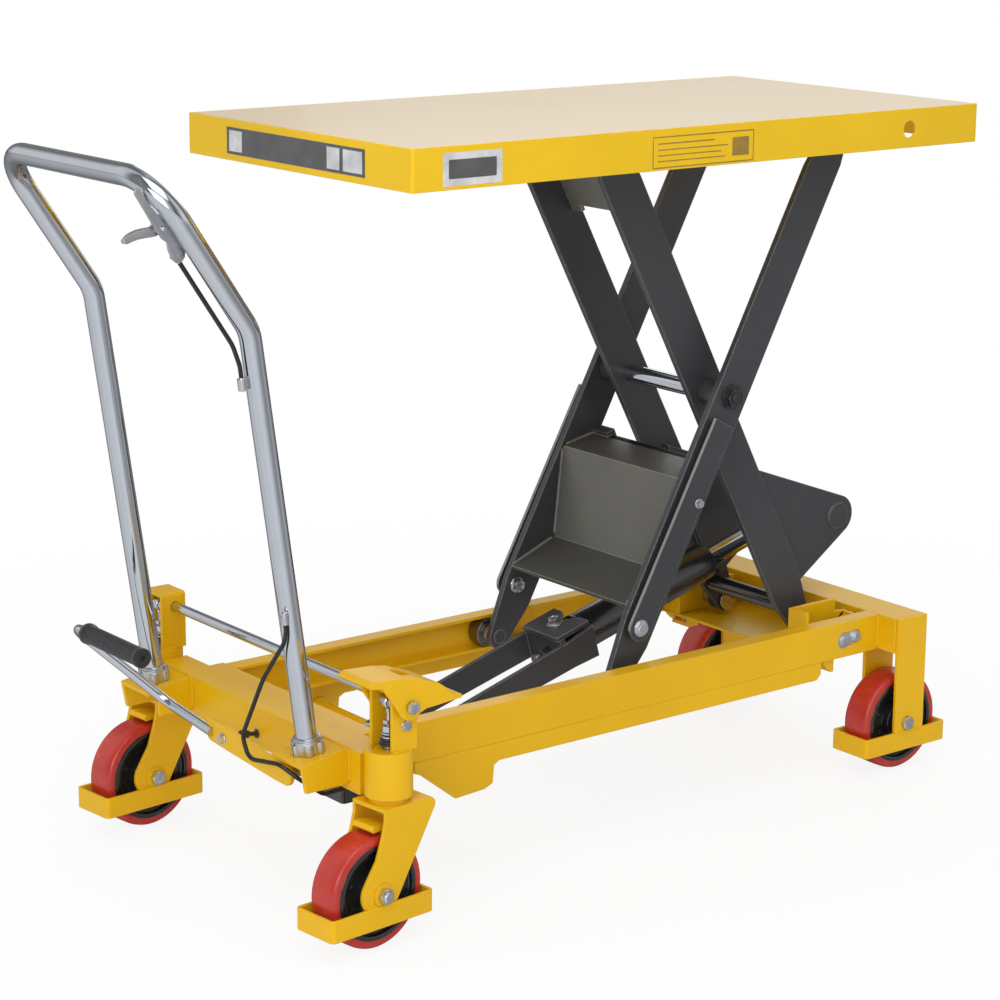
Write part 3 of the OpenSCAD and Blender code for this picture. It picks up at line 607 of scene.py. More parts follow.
def lathe_object(name, profile, centre, axis, material, body, segments=96, closed=False,
                 replaces=(), sharp=35):
    part = Part()
    part.lathe(profile, centre, axis, segments, closed=closed)
    part.finish(name, material, body, sharp, replaces)


def tube(name, runs, radius, material, body, segments, replaces=()):
    """One object with a round tube along each run made by path()."""
    part = Part()
    for run in runs:
        part.sweep(run, radius, segments)
    part.finish(name, material, body, replaces=replaces)


def weld(name, lines, radius, material, body, period=3.4):
    """Rippled beads along straight lines; period is the ripple spacing."""
    part = Part()
    taper = radius * 1.6
    for index, line in enumerate(lines):
        run = path(line, [], step=0.9)
        total = sum((a[0] - b[0]).length for a, b in zip(run, run[1:]))

        def bead(s):
            end = min(1.0, (s + 0.6) / taper, (total - s + 0.6) / taper)
            ripple = 0.13 * abs(math.sin(math.pi * s / period + index))
            drift = 0.07 * math.sin(s * 0.31 + 2 * index)
            return radius * (0.90 + ripple + drift) * math.sqrt(max(0.08, end))

        part.sweep(run, bead, 10)
    part.finish(name, material, body, sharp=60)


def bolt(name, centre, axis, across_flats, height, body, washer, material="zinc", cup=0.0,
         stub=None, turn=0.0):
    """Hexagonal head on a washer (radius, hole, thickness); stub: thread (radius, length)."""
    part = Part()
    centre = Vector(centre)
    axis = Vector(axis).normalized()
    part.washer(centre, axis, *washer)
    thickness = washer[2]
    part.hexagon(centre + axis * thickness, axis, across_flats, height, turn=turn, cup=cup)
    if stub:
        radius, length = stub
        top = thickness + height
        profile = [(radius, top - 0.5)]
        profile += thread(top, math.ceil(length - 1.2), radius, radius - 0.5)
        profile += [(radius, top + length - 0.8), (radius - 0.8, top + length),
                    (0, top + length)]
        part.lathe(profile, centre, axis, 32)
    part.finish(name, material, body, sharp=28)


def plate(name, outline, origin, across, thickness, material, body, bevel=0.7, replaces=(),
          segments=2):
    """outline: (distance along `across`, z) from origin; thickness runs along across x Z."""
    part = Part()
    bm = part.bm
    origin = Vector(origin)
    u = Vector(across)
    v = Vector(ALONG_Z)
    face = bm.faces.new([bm.verts.new(origin + u * a + v * b) for a, b in outline])
    extruded = bmesh.ops.extrude_face_region(bm, geom=[face])["geom"]
    moved = [item for item in extruded if isinstance(item, bmesh.types.BMVert)]
    bmesh.ops.translate(bm, verts=moved, vec=u.cross(v) * thickness)
    bmesh.ops.recalc_face_normals(bm, faces=bm.faces)
    if bevel:
        corners = [edge for edge in bm.edges if len(edge.link_faces) == 2
                   and edge.calc_face_angle(0) > math.radians(38)]
        bmesh.ops.bevel(bm, geom=corners, offset=bevel, segments=segments, profile=0.6,
                        affect="EDGES", clamp_overlap=True)
    part.finish(name, material, body, 30, replaces)


# ------------------------------------------------------------------ finish the CAD pieces
def finish_cad(names, material, bevel, faces=(), segments=2):
    """names: separated by spaces; bevel in mm.

    faces: (test, material) pairs; a test takes a face's centre in mm and its normal.
    """
    for name in names.split():
        obj = cad_nodes[name]
        mesh = obj.data
        mesh.materials.clear()
        for key in [material] + [other for _, other in faces]:
            mesh.materials.append(MATERIALS[key].data)
        for face in mesh.polygons:
            face.use_smooth = True
            face.material_index = 0
            centre = face.center / MM
            for i, (test, _) in enumerate(faces):
                if test(centre, face.normal):
                    face.material_index = i + 1
        if "custom_normal" in mesh.attributes:
            mesh.attributes.remove(mesh.attributes["custom_normal"])
        merge = obj.modifiers.new("weld", "WELD")
        merge.merge_threshold = 2e-6
        if bevel:
            flat = obj.modifiers.new("flat", "DECIMATE")
            flat.decimate_type = "DISSOLVE"
            flat.angle_limit = math.radians(0.4)
            flat.delimit = {"MATERIAL"}
            edge = obj.modifiers.new("edge", "BEVEL")
            edge.width = bevel * MM
            edge.segments = segments
            edge.limit_method = "ANGLE"
            edge.angle_limit = math.radians(33)
            edge.use_clamp_overlap = False
            edge.loop_slide = False
            edge.miter_outer = "MITER_SHARP"
            edge.profile = 0.6
        normals = obj.modifiers.new("normals", "WEIGHTED_NORMAL")
        normals.mode = "FACE_AREA"
        normals.weight = 80
        normals.keep_sharp = True


finish_cad("right_side_rail left_side_rail rail_skirts wheel_legs front_bolster brake_towers "
           "lower_pivot_brackets handle_brackets", "yellow", 0.8)
finish_cad("end_beam", "yellow", 1.6, segments=3)
finish_cad("fixed_guards", "yellow", 0.6)
finish_cad("castor_head_tubes", "yellow", 0.9)
finish_cad("brake_pedal", "yellow", 0.7)
finish_cad("platform_tracks", "yellow", 0.6)
finish_cad("platform_tray", "deck", 1.1, segments=3)
finish_cad("castor_fork_right castor_fork_left", "yellow", 0.8)
finish_cad("brake_shoe_right brake_shoe_left", "yellow", 0.5)
for side, side_name in SIDES:
    finish_cad("inner_arm_" + side_name, "charcoal", 0.9, [
        (lambda c, n: c.z > UPPER_Z - 13 and side * c.y > 93.5, "zinc_dark")])
for side, side_name in SIDES:
    finish_cad("outer_arm_" + side_name, "charcoal", 0.9, [
        (lambda c, n: side * c.y > 148.7 or (c.z < LOWER_Z + 16 and side * c.y > 141),
         "zinc")])
finish_cad("outer_arm_box", "plate", 0.6, [
    # Painted shade: the end plates beyond the middle plate take the darker copy.
    (lambda c, n: not HALF_ARM - 265.5 < up_outer_arm(c) < HALF_ARM - 137, "plate_painted_shade"),
    (lambda c, n: abs(c.y) > 94 and up_outer_arm(c) > HALF_ARM - 106, "charcoal")])
finish_cad("inner_arm_plate", "plate", 0.7)
finish_cad("inner_arm_tube", "black_paint", 0)
finish_cad("ram_gussets", "charcoal", 0.9)
for side, side_name in SIDES:
    finish_cad("lock_bar_" + side_name, "charcoal", 0.7, [
        (lambda c, n: side * c.y > 154.35, "zinc"),
        # Painted highlight: faces turned towards -X and up take the pale copy.
        (lambda c, n: -0.94 * n.x + 0.34 * n.z > 0.90, "painted_highlight_side")])
finish_cad("mid_shaft", "charcoal", 0.5, [(lambda c, n: abs(c.y) < 80, "chrome")])
finish_cad("ram_yoke", "charcoal", 0.8)
finish_cad("ram_barrel", "black_paint", 0.8, [
    (lambda c, n: (c - RAM_FOOT).dot(RAM_AXIS_ROUNDED) < 295, "zinc_dark")])
finish_cad("ram_rod", "chrome", 0.6)
finish_cad("ram_eye_pin upper_pivot_pins lower_pivot_pins", "zinc", 0.6)
finish_cad("ram_pivot_shaft", "yellow", 0.6)
finish_cad("lower_rollers upper_rollers", "zinc_dark", 0.8)
finish_cad("pin_keepers", "zinc", 0.4)
finish_cad("pump_body", "black_paint", 0.8)
finish_cad("pump_plunger", "chrome", 0.3)
finish_cad("valve_lever", "zinc", 0.4)
finish_cad("handle_collars", "cast", 0.9)
finish_cad("cable_clips", "cast", 0.7)
finish_cad("release_bracket", "cast", 0.5)
finish_cad("brake_shaft", "chrome", 0.5, [(lambda c, n: abs(c.y) > 265, "zinc")])

# ------------------------------------------------------------------ wheels
# Profiles from the outside in: (radius, inset from the wheel's side face)
TYRE_SHOULDER = [(63.5, 1.0), (66.0, 0.2), (69.5, 0.5), (72.2, 1.9), (73.9, 4.2),
                 (74.7, 7.5), (75.0, 16)]
HUB_FACE = [(63.6, 1.0), (63.2, 0.3), (62.4, -0.1), (58.6, -0.1), (57.6, 0.5), (56.6, 5.2),
            (55.4, 6.2), (47.0, 6.6), (46.0, 7.2), (45.0, 10.4), (44.0, 11.2), (29.5, 11.6),
            (28.4, 11.0), (26.4, 2.2), (25.6, 1.4), (23.6, 1.2)]
BEARING_FACE = [(23.6, 1.2), (23.2, 1.9), (20.4, 1.9), (20.0, 2.6), (15.6, 2.6), (15.2, 1.7),
                (11.2, 1.5), (10.4, 2.0), (10.3, 6.0)]


def wheel(name, centre, axis, body, node):
    """Crowned tyre on a dished hub with a bearing in each face."""
    half = WHEEL_HALF_WIDTH
    centre = Vector(centre)
    axis = Vector(axis).normalized()
    part = Part()
    part.lathe([(r, inset - half) for r, inset in TYRE_SHOULDER]
               + [(r, half - inset) for r, inset in TYRE_SHOULDER[::-1]], centre, axis, 144)
    for face in (-1, 1):
        for profile, segments, material in ((HUB_FACE, 120, 1), (BEARING_FACE, 96, 2)):
            part.lathe([(r, face * (half - inset)) for r, inset in profile],
                       centre, axis, segments, material)
    bore_radius, bore_inset = BEARING_FACE[-1]
    part.lathe([(bore_radius, bore_inset - half), (bore_radius, half - bore_inset)],
               centre, axis, 96, 2)
    obj = part.finish(name, ["tread", "hub", "zinc_dark"], body, 32, (node,))

    # Eight raised pips and a raised ring on the web of both faces
    part = Part()
    x, y, _ = basis(axis)
    pip_circle = 36.6
    for face in (-1, 1):
        for i in range(8):
            angle = 2 * math.pi * (i + 0.5) / 8
            place = (centre + x * (pip_circle * math.cos(angle))
                     + y * (pip_circle * math.sin(angle)) + axis * (face * (half - 11.7)))
            part.lathe([(3.6, 0), (3.4, 0.9), (2.6, 1.3), (0, 1.4)], place, axis * face, 24)
        part.lathe([(52.8, 0), (52.5, 0.7), (51.9, 0.95), (51.3, 0.7), (51.0, 0)],
                   centre + axis * (face * (half - 6.45)), axis * face, 96)
    part.finish(name + "_web_marks", "hub", body)


for side, side_name in SIDES:
    wheel("wheel_fixed_" + side_name, (FIXED_WHEEL_X, side * FIXED_WHEEL_Y, AXLE_Z), ALONG_Y,
          "fixed_wheel_" + side_name[0], "fixed_wheel_" + side_name)
for side, side_name in SIDES:
    wheel("wheel_castor_" + side_name, castor_point(side, CASTOR_TRAIL, 0, AXLE_Z),
          castor_direction(*ALONG_Y), "castor_wheel_" + side_name[0],
          "castor_wheel_" + side_name)


# ------------------------------------------------------------------ axles
def castor_axle(side, side_name):
    """Pin with a washer, a hexagon and an inner spacer at each end."""
    part = Part()
    centre = castor_point(side, CASTOR_TRAIL, 0, AXLE_Z)
    axis = castor_direction(*ALONG_Y)
    part.lathe([(10, -33), (10, 33)], centre, axis, 48)
    for end in (-1, 1):
        seat = centre + axis * (end * 32.6)
        part.washer(seat, axis * end, 15.2, 9.0, 2.4, segments=64, material=1)
        part.hexagon(seat + axis * (end * 2.2), axis * end, 19, 8.2, turn=0.35, cup=0.5)
        part.lathe([(10.1, 0), (14.6, 0.2), (14.9, 1.2), (12.9, 2.5), (12.9, 3.0),
                    (10.1, 3.0)], centre + axis * (end * 24.2), axis * end, 48)
    # Thread end beyond the outer nut
    profile = [(7.6, 40)] + thread(40.6, 5, 7.6, 7.0) + [(7.2, 45.6), (6.4, 46.4), (0, 46.4)]
    part.lathe([(r, side * h) for r, h in profile], centre, axis, 36)
    part.finish("castor_axle_" + side_name, ["zinc", "yellow"], "castor_" + side_name[0], 30,
                ("castor_axles_" + side_name,))


for side, side_name in SIDES:
    castor_axle(side, side_name)

part = Part()
for side, _ in SIDES:
    centre = Vector((FIXED_WHEEL_X, side * FIXED_WHEEL_Y, AXLE_Z))
    outward = Vector((0, side, 0))
    part.lathe([(10, -38.6), (10, 37)], centre, outward, 48)
    # Plain pin end outside, hexagon inside
    part.lathe([(0, 43.2), (8.6, 43.2), (9.9, 42.4), (10.4, 41.2), (10.4, 37.2), (10, 37.2)],
               centre, outward, 48)
    part.hexagon(centre + outward * -38.8, -outward, 26, 8, turn=0.2, cup=0.6)
    for start, end in ((25.5, 30.9), (-29.9, -25.5)):
        part.lathe([(10.1, start), (13.4, start), (14, start + 0.6), (14, end - 0.6),
                    (13.4, end), (10.1, end)], centre, outward, 48)
part.finish("fixed_wheel_axles", "zinc", "base", 30, ("fixed_axles",))

# ------------------------------------------------------------------ handle
tube("handle_bent_tube", [path(HANDLE_CORNERS, [60, 66, 66, 60], step=40, arc=3)], 14,
     "chrome", "base", 64, ("handle_tube",))

# ------------------------------------------------------------------ release lever
RELEASE_PIVOT = Vector((-808, 0, 926))
# (x, z) from the pivot: along the top towards -X, then back underneath
LEVER_OUTLINE = [
    (-1.5, 6.5), (-6, 3.5), (-12, 1.2), (-20, 0.8), (-30, -0.6), (-37, -2.8), (-43, -5.6),
    (-48, -9.8),
    (-49.4, -12.6), (-47.6, -15.4), (-43.5, -15.6), (-38, -13.6), (-30, -11.6),
    (-20, -10.6), (-11, -10.2), (-5, -9.6), (0, -7.2), (5, -4.8), (7.2, 0), (4.4, 5.4)]
LEVER_TAIL = [(2, -6), (6.5, 4), (16.4, -13.4), (17.2, -18), (13.6, -20.6), (10, -17.4)]
LEVER_PIVOT_PROFILE = [
    (0, -21.5), (2.4, -21.5), (3.2, -20.8), (3.2, -18.2), (1.6, -18.0), (1.6, -14.6),
    (7.0, -14.6), (7.4, -14), (7.4, 0.6), (6.8, 1.2), (2.6, 1.2), (2.3, 2.2), (0, 2.3)]
# Lug under the cable adjuster: (x, z)
ADJUSTER_LUG = [(-803, 910), (-777, 899.6), (-779, 889), (-784, 883.5), (-790, 883),
                (-796, 888), (-801, 899)]

# Cable corners: from the adjuster down to the handle leg, and from the leg to the bolster
UPPER_CABLE = [(-791, -168, 895), (-766, -176, 852), (-722, -188, 778), (-713.5, -190, 752),
               (-709.5, -190, 724.5)]
LOWER_CABLE = [(-661.9, -202.9, 432.8), (-658.6, -202.9, 409), (-664, -207, 396),
               (-665, -158, 336), (-665, -107, 246), (-665, -122, 219), (-658, -182, 227),
               (-644, -205, 211), (-606, -206, 182), (-520, -178, 173), (-497, -154, 180)]

plate("release_lever_blade", LEVER_OUTLINE, RELEASE_PIVOT + Vector((0, -158, 0)), ALONG_X,
      8.6, "cast", "release", 1.6, ("release_lever",), segments=4)
plate("release_lever_tail", LEVER_TAIL, RELEASE_PIVOT + Vector((0, -165.6, 0)), ALONG_X,
      4.4, "cast", "release", 0.9)
lathe_object("release_lever_pivot", LEVER_PIVOT_PROFILE,
             RELEASE_PIVOT + Vector((0, -156.5, 0)), ALONG_Y, "zinc", "release", 48, sharp=30)

# Adjuster barrel and lock nut on the top end of the cable
adjuster = Vector(UPPER_CABLE[0])
adjuster_axis = direction(*UPPER_CABLE[:2])
part = Part()
part.lathe([(0, -7.6), (1.9, -7.6), (2.2, -7.0), (2.2, -4), (4.2, -4), (4.6, -3.4), (4.6, 9),
            (4.2, 9.6), (3.4, 9.8), (3.2, 14), (2.9, 14.2)], adjuster, adjuster_axis, 36)
part.hexagon(adjuster + adjuster_axis * 1.8, adjuster_axis, 11.5, 4.0, both_ends=True)
part.finish("cable_adjuster", "zinc", "base", 30)
plate("adjuster_lug", ADJUSTER_LUG, (0, -171.05, 0), ALONG_X, 3.8, "cast", "base", 0.8)

# ------------------------------------------------------------------ cable
tube("release_cable_sheath", [
    path(UPPER_CABLE, [60, 60, 30], step=6, arc=5),
    path(LOWER_CABLE, [10, 12, 150, 18, 18, 20, 14, 24, 40], step=5, arc=5)],
    2.9, "cable", "base", 24, ("release_cable",))

part = Part()
for end, inner, length in ((LOWER_CABLE[0], LOWER_CABLE[1], 15),
                           (UPPER_CABLE[4], UPPER_CABLE[3], 13)):
    part.lathe([(0, -5.5), (1.0, -5.5), (1.1, -1), (3.7, -0.6), (4.1, 0), (4.1, length - 1.5),
                (3.6, length - 0.3), (3.0, length)], end, direction(end, inner), 32)
part.lathe([(3.0, -14), (3.8, -13.4), (4.0, -1), (3.4, 0), (1.0, 0.4), (1.0, 4.4), (0, 4.5)],
           LOWER_CABLE[-1], direction(*LOWER_CABLE[-2:]), 32)
part.finish("cable_ferrules", "zinc", "base", 30)

lathe_object("bolster_rubber_knob", [
    (0, 27), (4.0, 26.6), (5.6, 24.6), (6.2, 20), (5.8, 15), (4.4, 11.6), (3.0, 11), (3.0, 2),
    (6.2, 1.6), (6.4, 0), (0, 0)], (-579, -8, 205), (-1, 0.15, 0.1), "rubber", "base", 40)

# ------------------------------------------------------------------ foot pedal
PEDAL_PLATE_X = -644
PEDAL_PLATE_THICKNESS = 6
PEDAL_PLATE_FRONT_X = PEDAL_PLATE_X + PEDAL_PLATE_THICKNESS
# (y, z): round end at the pivot, then the blade towards +Y and back along its top
PEDAL_OUTLINE = arc_points(PEDAL_Y, PEDAL_Z, 14, range(112, 271, 8)) + [
    (-150, 193.6), (-90, 197.6), (-20, 202.8), (6, 205.2), (11, 207.6), (13, 212), (13, 229),
    (11, 233.6), (6, 235), (-40, 232), (-120, 225)]
PEDAL_ROD = [(-645, -2, 219), (-645, 112, 231), (-760, 165, 346.5), (-760, 96, 346.5)]
CRANK_OUTLINE = (arc_points(PEDAL_Y, PEDAL_Z, 7.9, range(130, 231, 10))
                 + arc_points(-120, PEDAL_Z, 7.4, range(-125, 126, 10)))
GRIP_RIBS, GRIP_RIB_START, GRIP_RIB_PITCH = 23, -12.0, 5.2


def grip_profile():
    """(radius, y) of the sleeve: flanged end, ribs, flared end."""
    profile = [(0, -17.6), (4.2, -17.6), (4.6, -20.8), (5.4, -21.4), (11.6, -21.4),
               (13.0, -20.8), (13.4, -19.4), (13.4, -16.6), (12.5, -15.6)]
    for k in range(GRIP_RIBS):
        y = GRIP_RIB_START + k * GRIP_RIB_PITCH
        profile += [(12.5, y), (12.3, y + 0.5), (11.5, y + 0.9), (11.4, y + 1.9),
                    (12.3, y + 2.4), (12.5, y + 2.9)]
    return profile + [(12.5, 109.5), (13.4, 111.6), (14.1, 113.0), (14.3, 115.5),
                      (14.3, 119.0), (13.7, 120.6), (12.2, 121.4), (7.4, 121.8),
                      (7.1, 121.8)]


plate("pedal_plate", PEDAL_OUTLINE, (PEDAL_PLATE_X, 0, 0), ALONG_Y, PEDAL_PLATE_THICKNESS,
      "yellow", "pedal", 1.0, ("pedal_lever",), segments=3)
bolt("pedal_plate_screw", (-644.05, -26, 216), (-1, 0, 0), 11, 4.6, "pedal", (7.4, 3.4, 1.3),
     turn=0.3)
tube("pedal_bent_rod", [path(PEDAL_ROD, [34, 20], step=8, arc=4)], 7.0, "chrome", "pedal", 40)
weld("pedal_rod_weld", [[(-643.6, -2, 226.2), (-643.6, 14, 227.7)],
                        [(-643.6, -2, 212), (-643.6, 14, 213.7)]], 2.0, "yellow", "pedal")
lathe_object("pedal_pivot_shaft", [
    (0, PEDAL_PLATE_FRONT_X), (6, PEDAL_PLATE_FRONT_X), (6, -520.6), (5.4, -520), (0, -520)],
    (0, PEDAL_Y, PEDAL_Z), ALONG_X, "zinc", "pedal", 48, sharp=30)
plate("pedal_crank", CRANK_OUTLINE, (-530, 0, 0), ALONG_Y, 10, "zinc", "pedal", 0.8)
lathe_object("pedal_grip_sleeve", grip_profile(), PEDAL_GRIP, ALONG_Y, "rubber", "pedal",
             replaces=("pedal_grip",), sharp=30)
lathe_object("pedal_grip_end_ring", [
    (7.1, 121.0), (10.4, 121.2), (11.0, 121.9), (11.0, 123.3), (10.2, 124.1), (7.1, 124.3)],
    PEDAL_GRIP, ALONG_Y, "zinc", "pedal", 64, sharp=30)

# ------------------------------------------------------------------ brake eye bolts
EYE_RING = [(5.35, -4.2), (5.7, -4.9), (7.6, -4.9), (9.0, -3.6), (9.6, -1.6), (9.6, 1.6),
            (9.0, 3.6), (7.6, 4.9), (5.7, 4.9), (5.35, 4.2)]
EYE_SHANK = ([(4.6, 308.5), (4.2, 305.5), (3.6, 303.5)]
             + thread(303.0, 19, 3.6, 3.1, pitch=-1.0) + [(3.5, 283), (3.5, 260)])

part = Part()
for side, _ in SIDES:
    foot = Vector((CASTOR_X, side * CASTOR_Y, 0))
    part.lathe(EYE_RING, foot + Vector((0, 0, BRAKE_SHAFT_Z)), ALONG_Y, 64, closed=True)
    part.lathe(EYE_SHANK, foot, ALONG_Z, 36)
    part.hexagon(foot + Vector((0, 0, 287.0)), ALONG_Z, 12.5, 5.2, both_ends=True, turn=0.2)
    part.hexagon(foot + Vector((0, 0, 276.2)), ALONG_Z, 15, 8.4, both_ends=True, turn=0.5)
    # Two collars, then the rod below them
    part.lathe([(3.5, 276), (9.4, 276), (10, 275.4), (10, 274.2), (9.4, 273.6),
                (3.5, 273.6)], foot, ALONG_Z, 48)
    part.lathe([(3.5, 271.2), (8.6, 271.2), (9.2, 270.6), (9.2, 269.0), (3.5, 269.0)],
               foot, ALONG_Z, 48)
    part.lathe([(6.5, 262), (6.5, 179.2), (5.6, 178.2), (0, 178.2)], foot, ALONG_Z, 40)
part.finish("brake_eye_bolts", "zinc", "links", 30, ("brake_links",))

part = Part()
for side, _ in SIDES:
    foot = (CASTOR_X, side * CASTOR_Y, 0)
    part.lathe([(3.6, 273.6), (8.2, 273.6), (9.2, 272.9), (9.2, 271.9), (8.2, 271.2),
                (3.6, 271.2)], foot, ALONG_Z, 48)
    part.lathe([(3.6, 269.0), (9.6, 269.0), (10.6, 268.3), (11.0, 267.0), (10.4, 265.6),
                (11.6, 264.8), (12.2, 263.4), (11.6, 262.2), (12.7, 261.4), (13.0, 260.2),
                (12.6, 259.5), (6.6, 259.5)], foot, ALONG_Z, 64)
part.finish("brake_link_boots", "rubber", "links")

# Rounded head on the right end of the brake shaft, collar on the left
part = Part()
part.lathe([(7, 0), (7.8, 0), (8.4, 0.4), (8.6, 1.2), (8.5, 3.4), (7.8, 4.6), (6.4, 5.2),
            (0, 5.5)], (-545, -316.25, BRAKE_SHAFT_Z), (0, -1, 0), 64)
part.lathe([(7, 0), (9.4, 0), (10.2, 0.5), (10.2, 1.8), (9.4, 2.3), (7, 2.3)],
           (-545, 300, BRAKE_SHAFT_Z), ALONG_Y, 48)
part.finish("brake_shaft_ends", "zinc", "brake", 30)

# ------------------------------------------------------------------ rollers and bolts
# (radius, distance from the middle plane)
ROLLER_PROFILE = [
    (10.6, 158.0), (14.2, 158.0), (14.6, 158.4), (14.8, 159.8), (17.2, 160.2), (17.8, 158.6),
    (20.2, 158.2), (21.2, 158.8), (21.8, 160.2), (21.8, 179.2), (21.0, 180.8), (19.4, 181.2),
    (13, 181.2), (10.6, 180.8)]

part = Part()
for side, _ in SIDES:
    part.lathe(ROLLER_PROFILE, (OUTER_FOOT_X, 0, LOWER_Z), (0, side, 0), 96, closed=True)
part.finish("lower_track_rollers", "zinc_dark", "lower_roller_pair", 30, ("lower_rollers",))


def side_bolts(side, side_name):
    outward = (0, side, 0)
    bolt("lock_pivot_bolt_" + side_name, on_outer_arm(81.2, side * 154.35, -8), outward,
         18, 4.7, "outer_arms", (12.5, 6, 0.9), cup=0.6, turn=0.25)
    bolt("arm_inner_bolt_" + side_name, on_outer_arm(81.2, side * 130.62, -8), (0, -side, 0),
         18, 7.4, "outer_arms", (12.0, 6, 1.8), cup=0.6, turn=0.9)
    bolt("mid_pivot_nut_" + side_name, (MID_X, side * 142.5, MID_Z), outward,
         26, 8.0, "inner_arms", (17.6, 11, 2.2), "black_paint", stub=(8, 3.4), turn=0.4)
    bolt("lock_stop_screw_" + side_name, on_outer_arm(HALF_ARM - 160, side * 154.3, 6),
         outward, 10, 5.2, "lock_" + side_name, (7.2, 3.6, 1.0), turn=0.1)
    bolt("keeper_screw_" + side_name, (INNER_FOOT_X + 18, side * 186.35, LOWER_Z + 1),
         outward, 12, 4.8, "base", (8.2, 3.6, 1.1), turn=0.5)
    bolt("keeper_pin_face_" + side_name, (INNER_FOOT_X - 6, side * 186.35, LOWER_Z - 2),
         outward, 12, 2.6, "base", (8.4, 3.6, 0.9), turn=0.2)
    bolt("tower_stop_screw_" + side_name, (-545.5, side * 303.05, 288.5), outward,
         11, 4.0, "base", (7.2, 3.6, 0.8), turn=0.3)


for side, side_name in SIDES:
    side_bolts(side, side_name)

# ------------------------------------------------------------------ ram fittings
bolt("yoke_screw", on_ram(312, 0, 33.1), RAM_NORMAL, 16, 8.0, "ram", (12, 5.2, 1.8),
     cup=0.7, turn=0.6)
part = Part()
part.hexagon(on_ram(271.5, -8, 2), RAM_AXIS, 15.4, 14.2, both_ends=True)
part.lathe([(5.0, 0), (5.2, -2), (6.4, -2.6), (6.8, -4), (6.8, -13), (6.0, -14.4),
            (5.2, -15), (5.2, -16.2), (0, -16.6)], on_ram(272, -8, 2), RAM_AXIS, 40)
part.finish("barrel_port_fitting", "zinc_dark", "ram", 30)
lathe_object("barrel_gland", [
    (15.2, 600.6), (17.6, 602.4), (18.4, 603.2), (18.4, 606.4), (17.8, 607.0), (15.4, 607.4),
    (15.15, 606.4), (15.15, 601)], RAM_FOOT, RAM_AXIS, "rubber", "ram", 72, closed=True)
lathe_object("barrel_retaining_ring", [
    (28.9, 342.5), (29.6, 342.5), (29.9, 343.1), (29.9, 345.6), (29.6, 346.2), (28.9, 346.2)],
    RAM_FOOT, RAM_AXIS, "black_paint", "ram", closed=True)

# ------------------------------------------------------------------ pump fittings
PUMP_HOSE = [(-443, -92, 160), (-415, -90, 158), (-392, -62, 138), (-366, -49.5, 128)]
tube("pump_hose_sleeve", [path(PUMP_HOSE, [20, 20], step=5, arc=5)], 5.5, "cable", "base", 32,
     ("pump_hose",))
part = Part()
for end, inner in (PUMP_HOSE[:2], PUMP_HOSE[:1:-1]):
    part.lathe([(5.6, -0.5), (7.2, 0), (7.4, 1.2), (7.4, 6.2), (6.8, 6.9), (7.4, 7.6),
                (7.4, 13), (6.6, 14), (5.6, 14.2)], end, direction(end, inner), 36)
part.finish("hose_crimps", "zinc", "base", 30)
bolt("reservoir_cap", (-470, -108, 213.9), ALONG_Z, 20, 6.5, "base", (12, 6, 1.4), turn=0.4)
lathe_object("pump_gland_ring", [
    (8.1, 0), (11.2, 0), (12.0, 0.7), (12.0, 2.4), (11.2, 3.1), (9.0, 3.4), (8.1, 3.0)],
    (-518, -120, 184.9), ALONG_Z, "zinc", "base", 64, sharp=30)

# ------------------------------------------------------------------ handle collar lips
leg_foot_x, _, leg_foot_z = HANDLE_CORNERS[0]
leg_lean = math.atan2(leg_foot_x - HANDLE_CORNERS[1][0], HANDLE_CORNERS[1][2] - leg_foot_z)
leg_axis = (-math.sin(leg_lean), 0, math.cos(leg_lean))
collar_z = 238.7
collar_x = leg_foot_x - math.tan(leg_lean) * (collar_z - leg_foot_z)
part = Part()
for side, _ in SIDES:
    part.lathe([(14.05, 18.6), (17.6, 18.9), (18.4, 19.6), (18.2, 20.6), (16.6, 21.5),
                (14.6, 21.9), (14.05, 21.5)], (collar_x, side * HANDLE_Y, collar_z),
               leg_axis, 72)
part.finish("collar_lips", "cast", "base", 30)


# ------------------------------------------------------------------ weld beads
def side_welds(side, side_name):
    def box_line(*ends):
        """ends: (distance up the arm from the middle pivot, distance off its underside)"""
        return [on_outer_arm(HALF_ARM + s, side * 129.9, n) for s, n in ends]

    def line(start, end):
        """A straight line, mirrored in y to this side."""
        return [(x, side * y, z) for x, y, z in (start, end)]

    weld("box_weld_" + side_name, [
        box_line((-141, -25.6), (-262.5, 22.6)),
        box_line((-268.5, 21.8), (-330, -30.2)),
        box_line((-96, 22.4), (-133.5, -22.4))], 2.6, "plate", "outer_arms", period=3.0)
    weld("gusset_weld_" + side_name, [
        line((216.5, 79.6, 476.5), (259, 79.6, 375)),
        line((265.5, 79.6, 364), (297.5, 79.6, 301))], 2.2, "charcoal", "inner_arms")
    weld("tower_weld_" + side_name, [
        line((-566, y, 255.8), (-536, y, 255.8)) for y in (303.6, 252.6)],
        1.7, "yellow", "base")
    weld("bracket_weld_" + side_name, [
        line((-579.6, 225.6, 200), (-579.6, 225.6, 243)),
        line((-579.8, 223, 244.4), (-579.8, 157, 244.4)),
        line((-579.6, 154.6, 200), (-579.6, 154.6, 243))], 1.9, "yellow", "base")
    weld("fixed_guard_weld_" + side_name, [line((421, 229.4, 62.9), (477, 229.4, 62.9))],
         1.5, "yellow", "base")
    weld("rail_end_weld_" + side_name, [line((416.6, 187.5, 190), (416.6, 187.5, 239))],
         1.9, "yellow", "base")
    weld("fork_guard_weld_" + side_name, [
        [castor_point(side, x, y, 63.2) for x in (-66, -22)] for y in (-33.0, 33.0)],
        1.7, "yellow", "castor_" + side_name[0])
    weld("head_tube_weld_" + side_name, [
        line((x, 248.4, 196), (x, 248.4, 242)) for x in (-566.5, -543.5)],
        2.4, "yellow", "base")


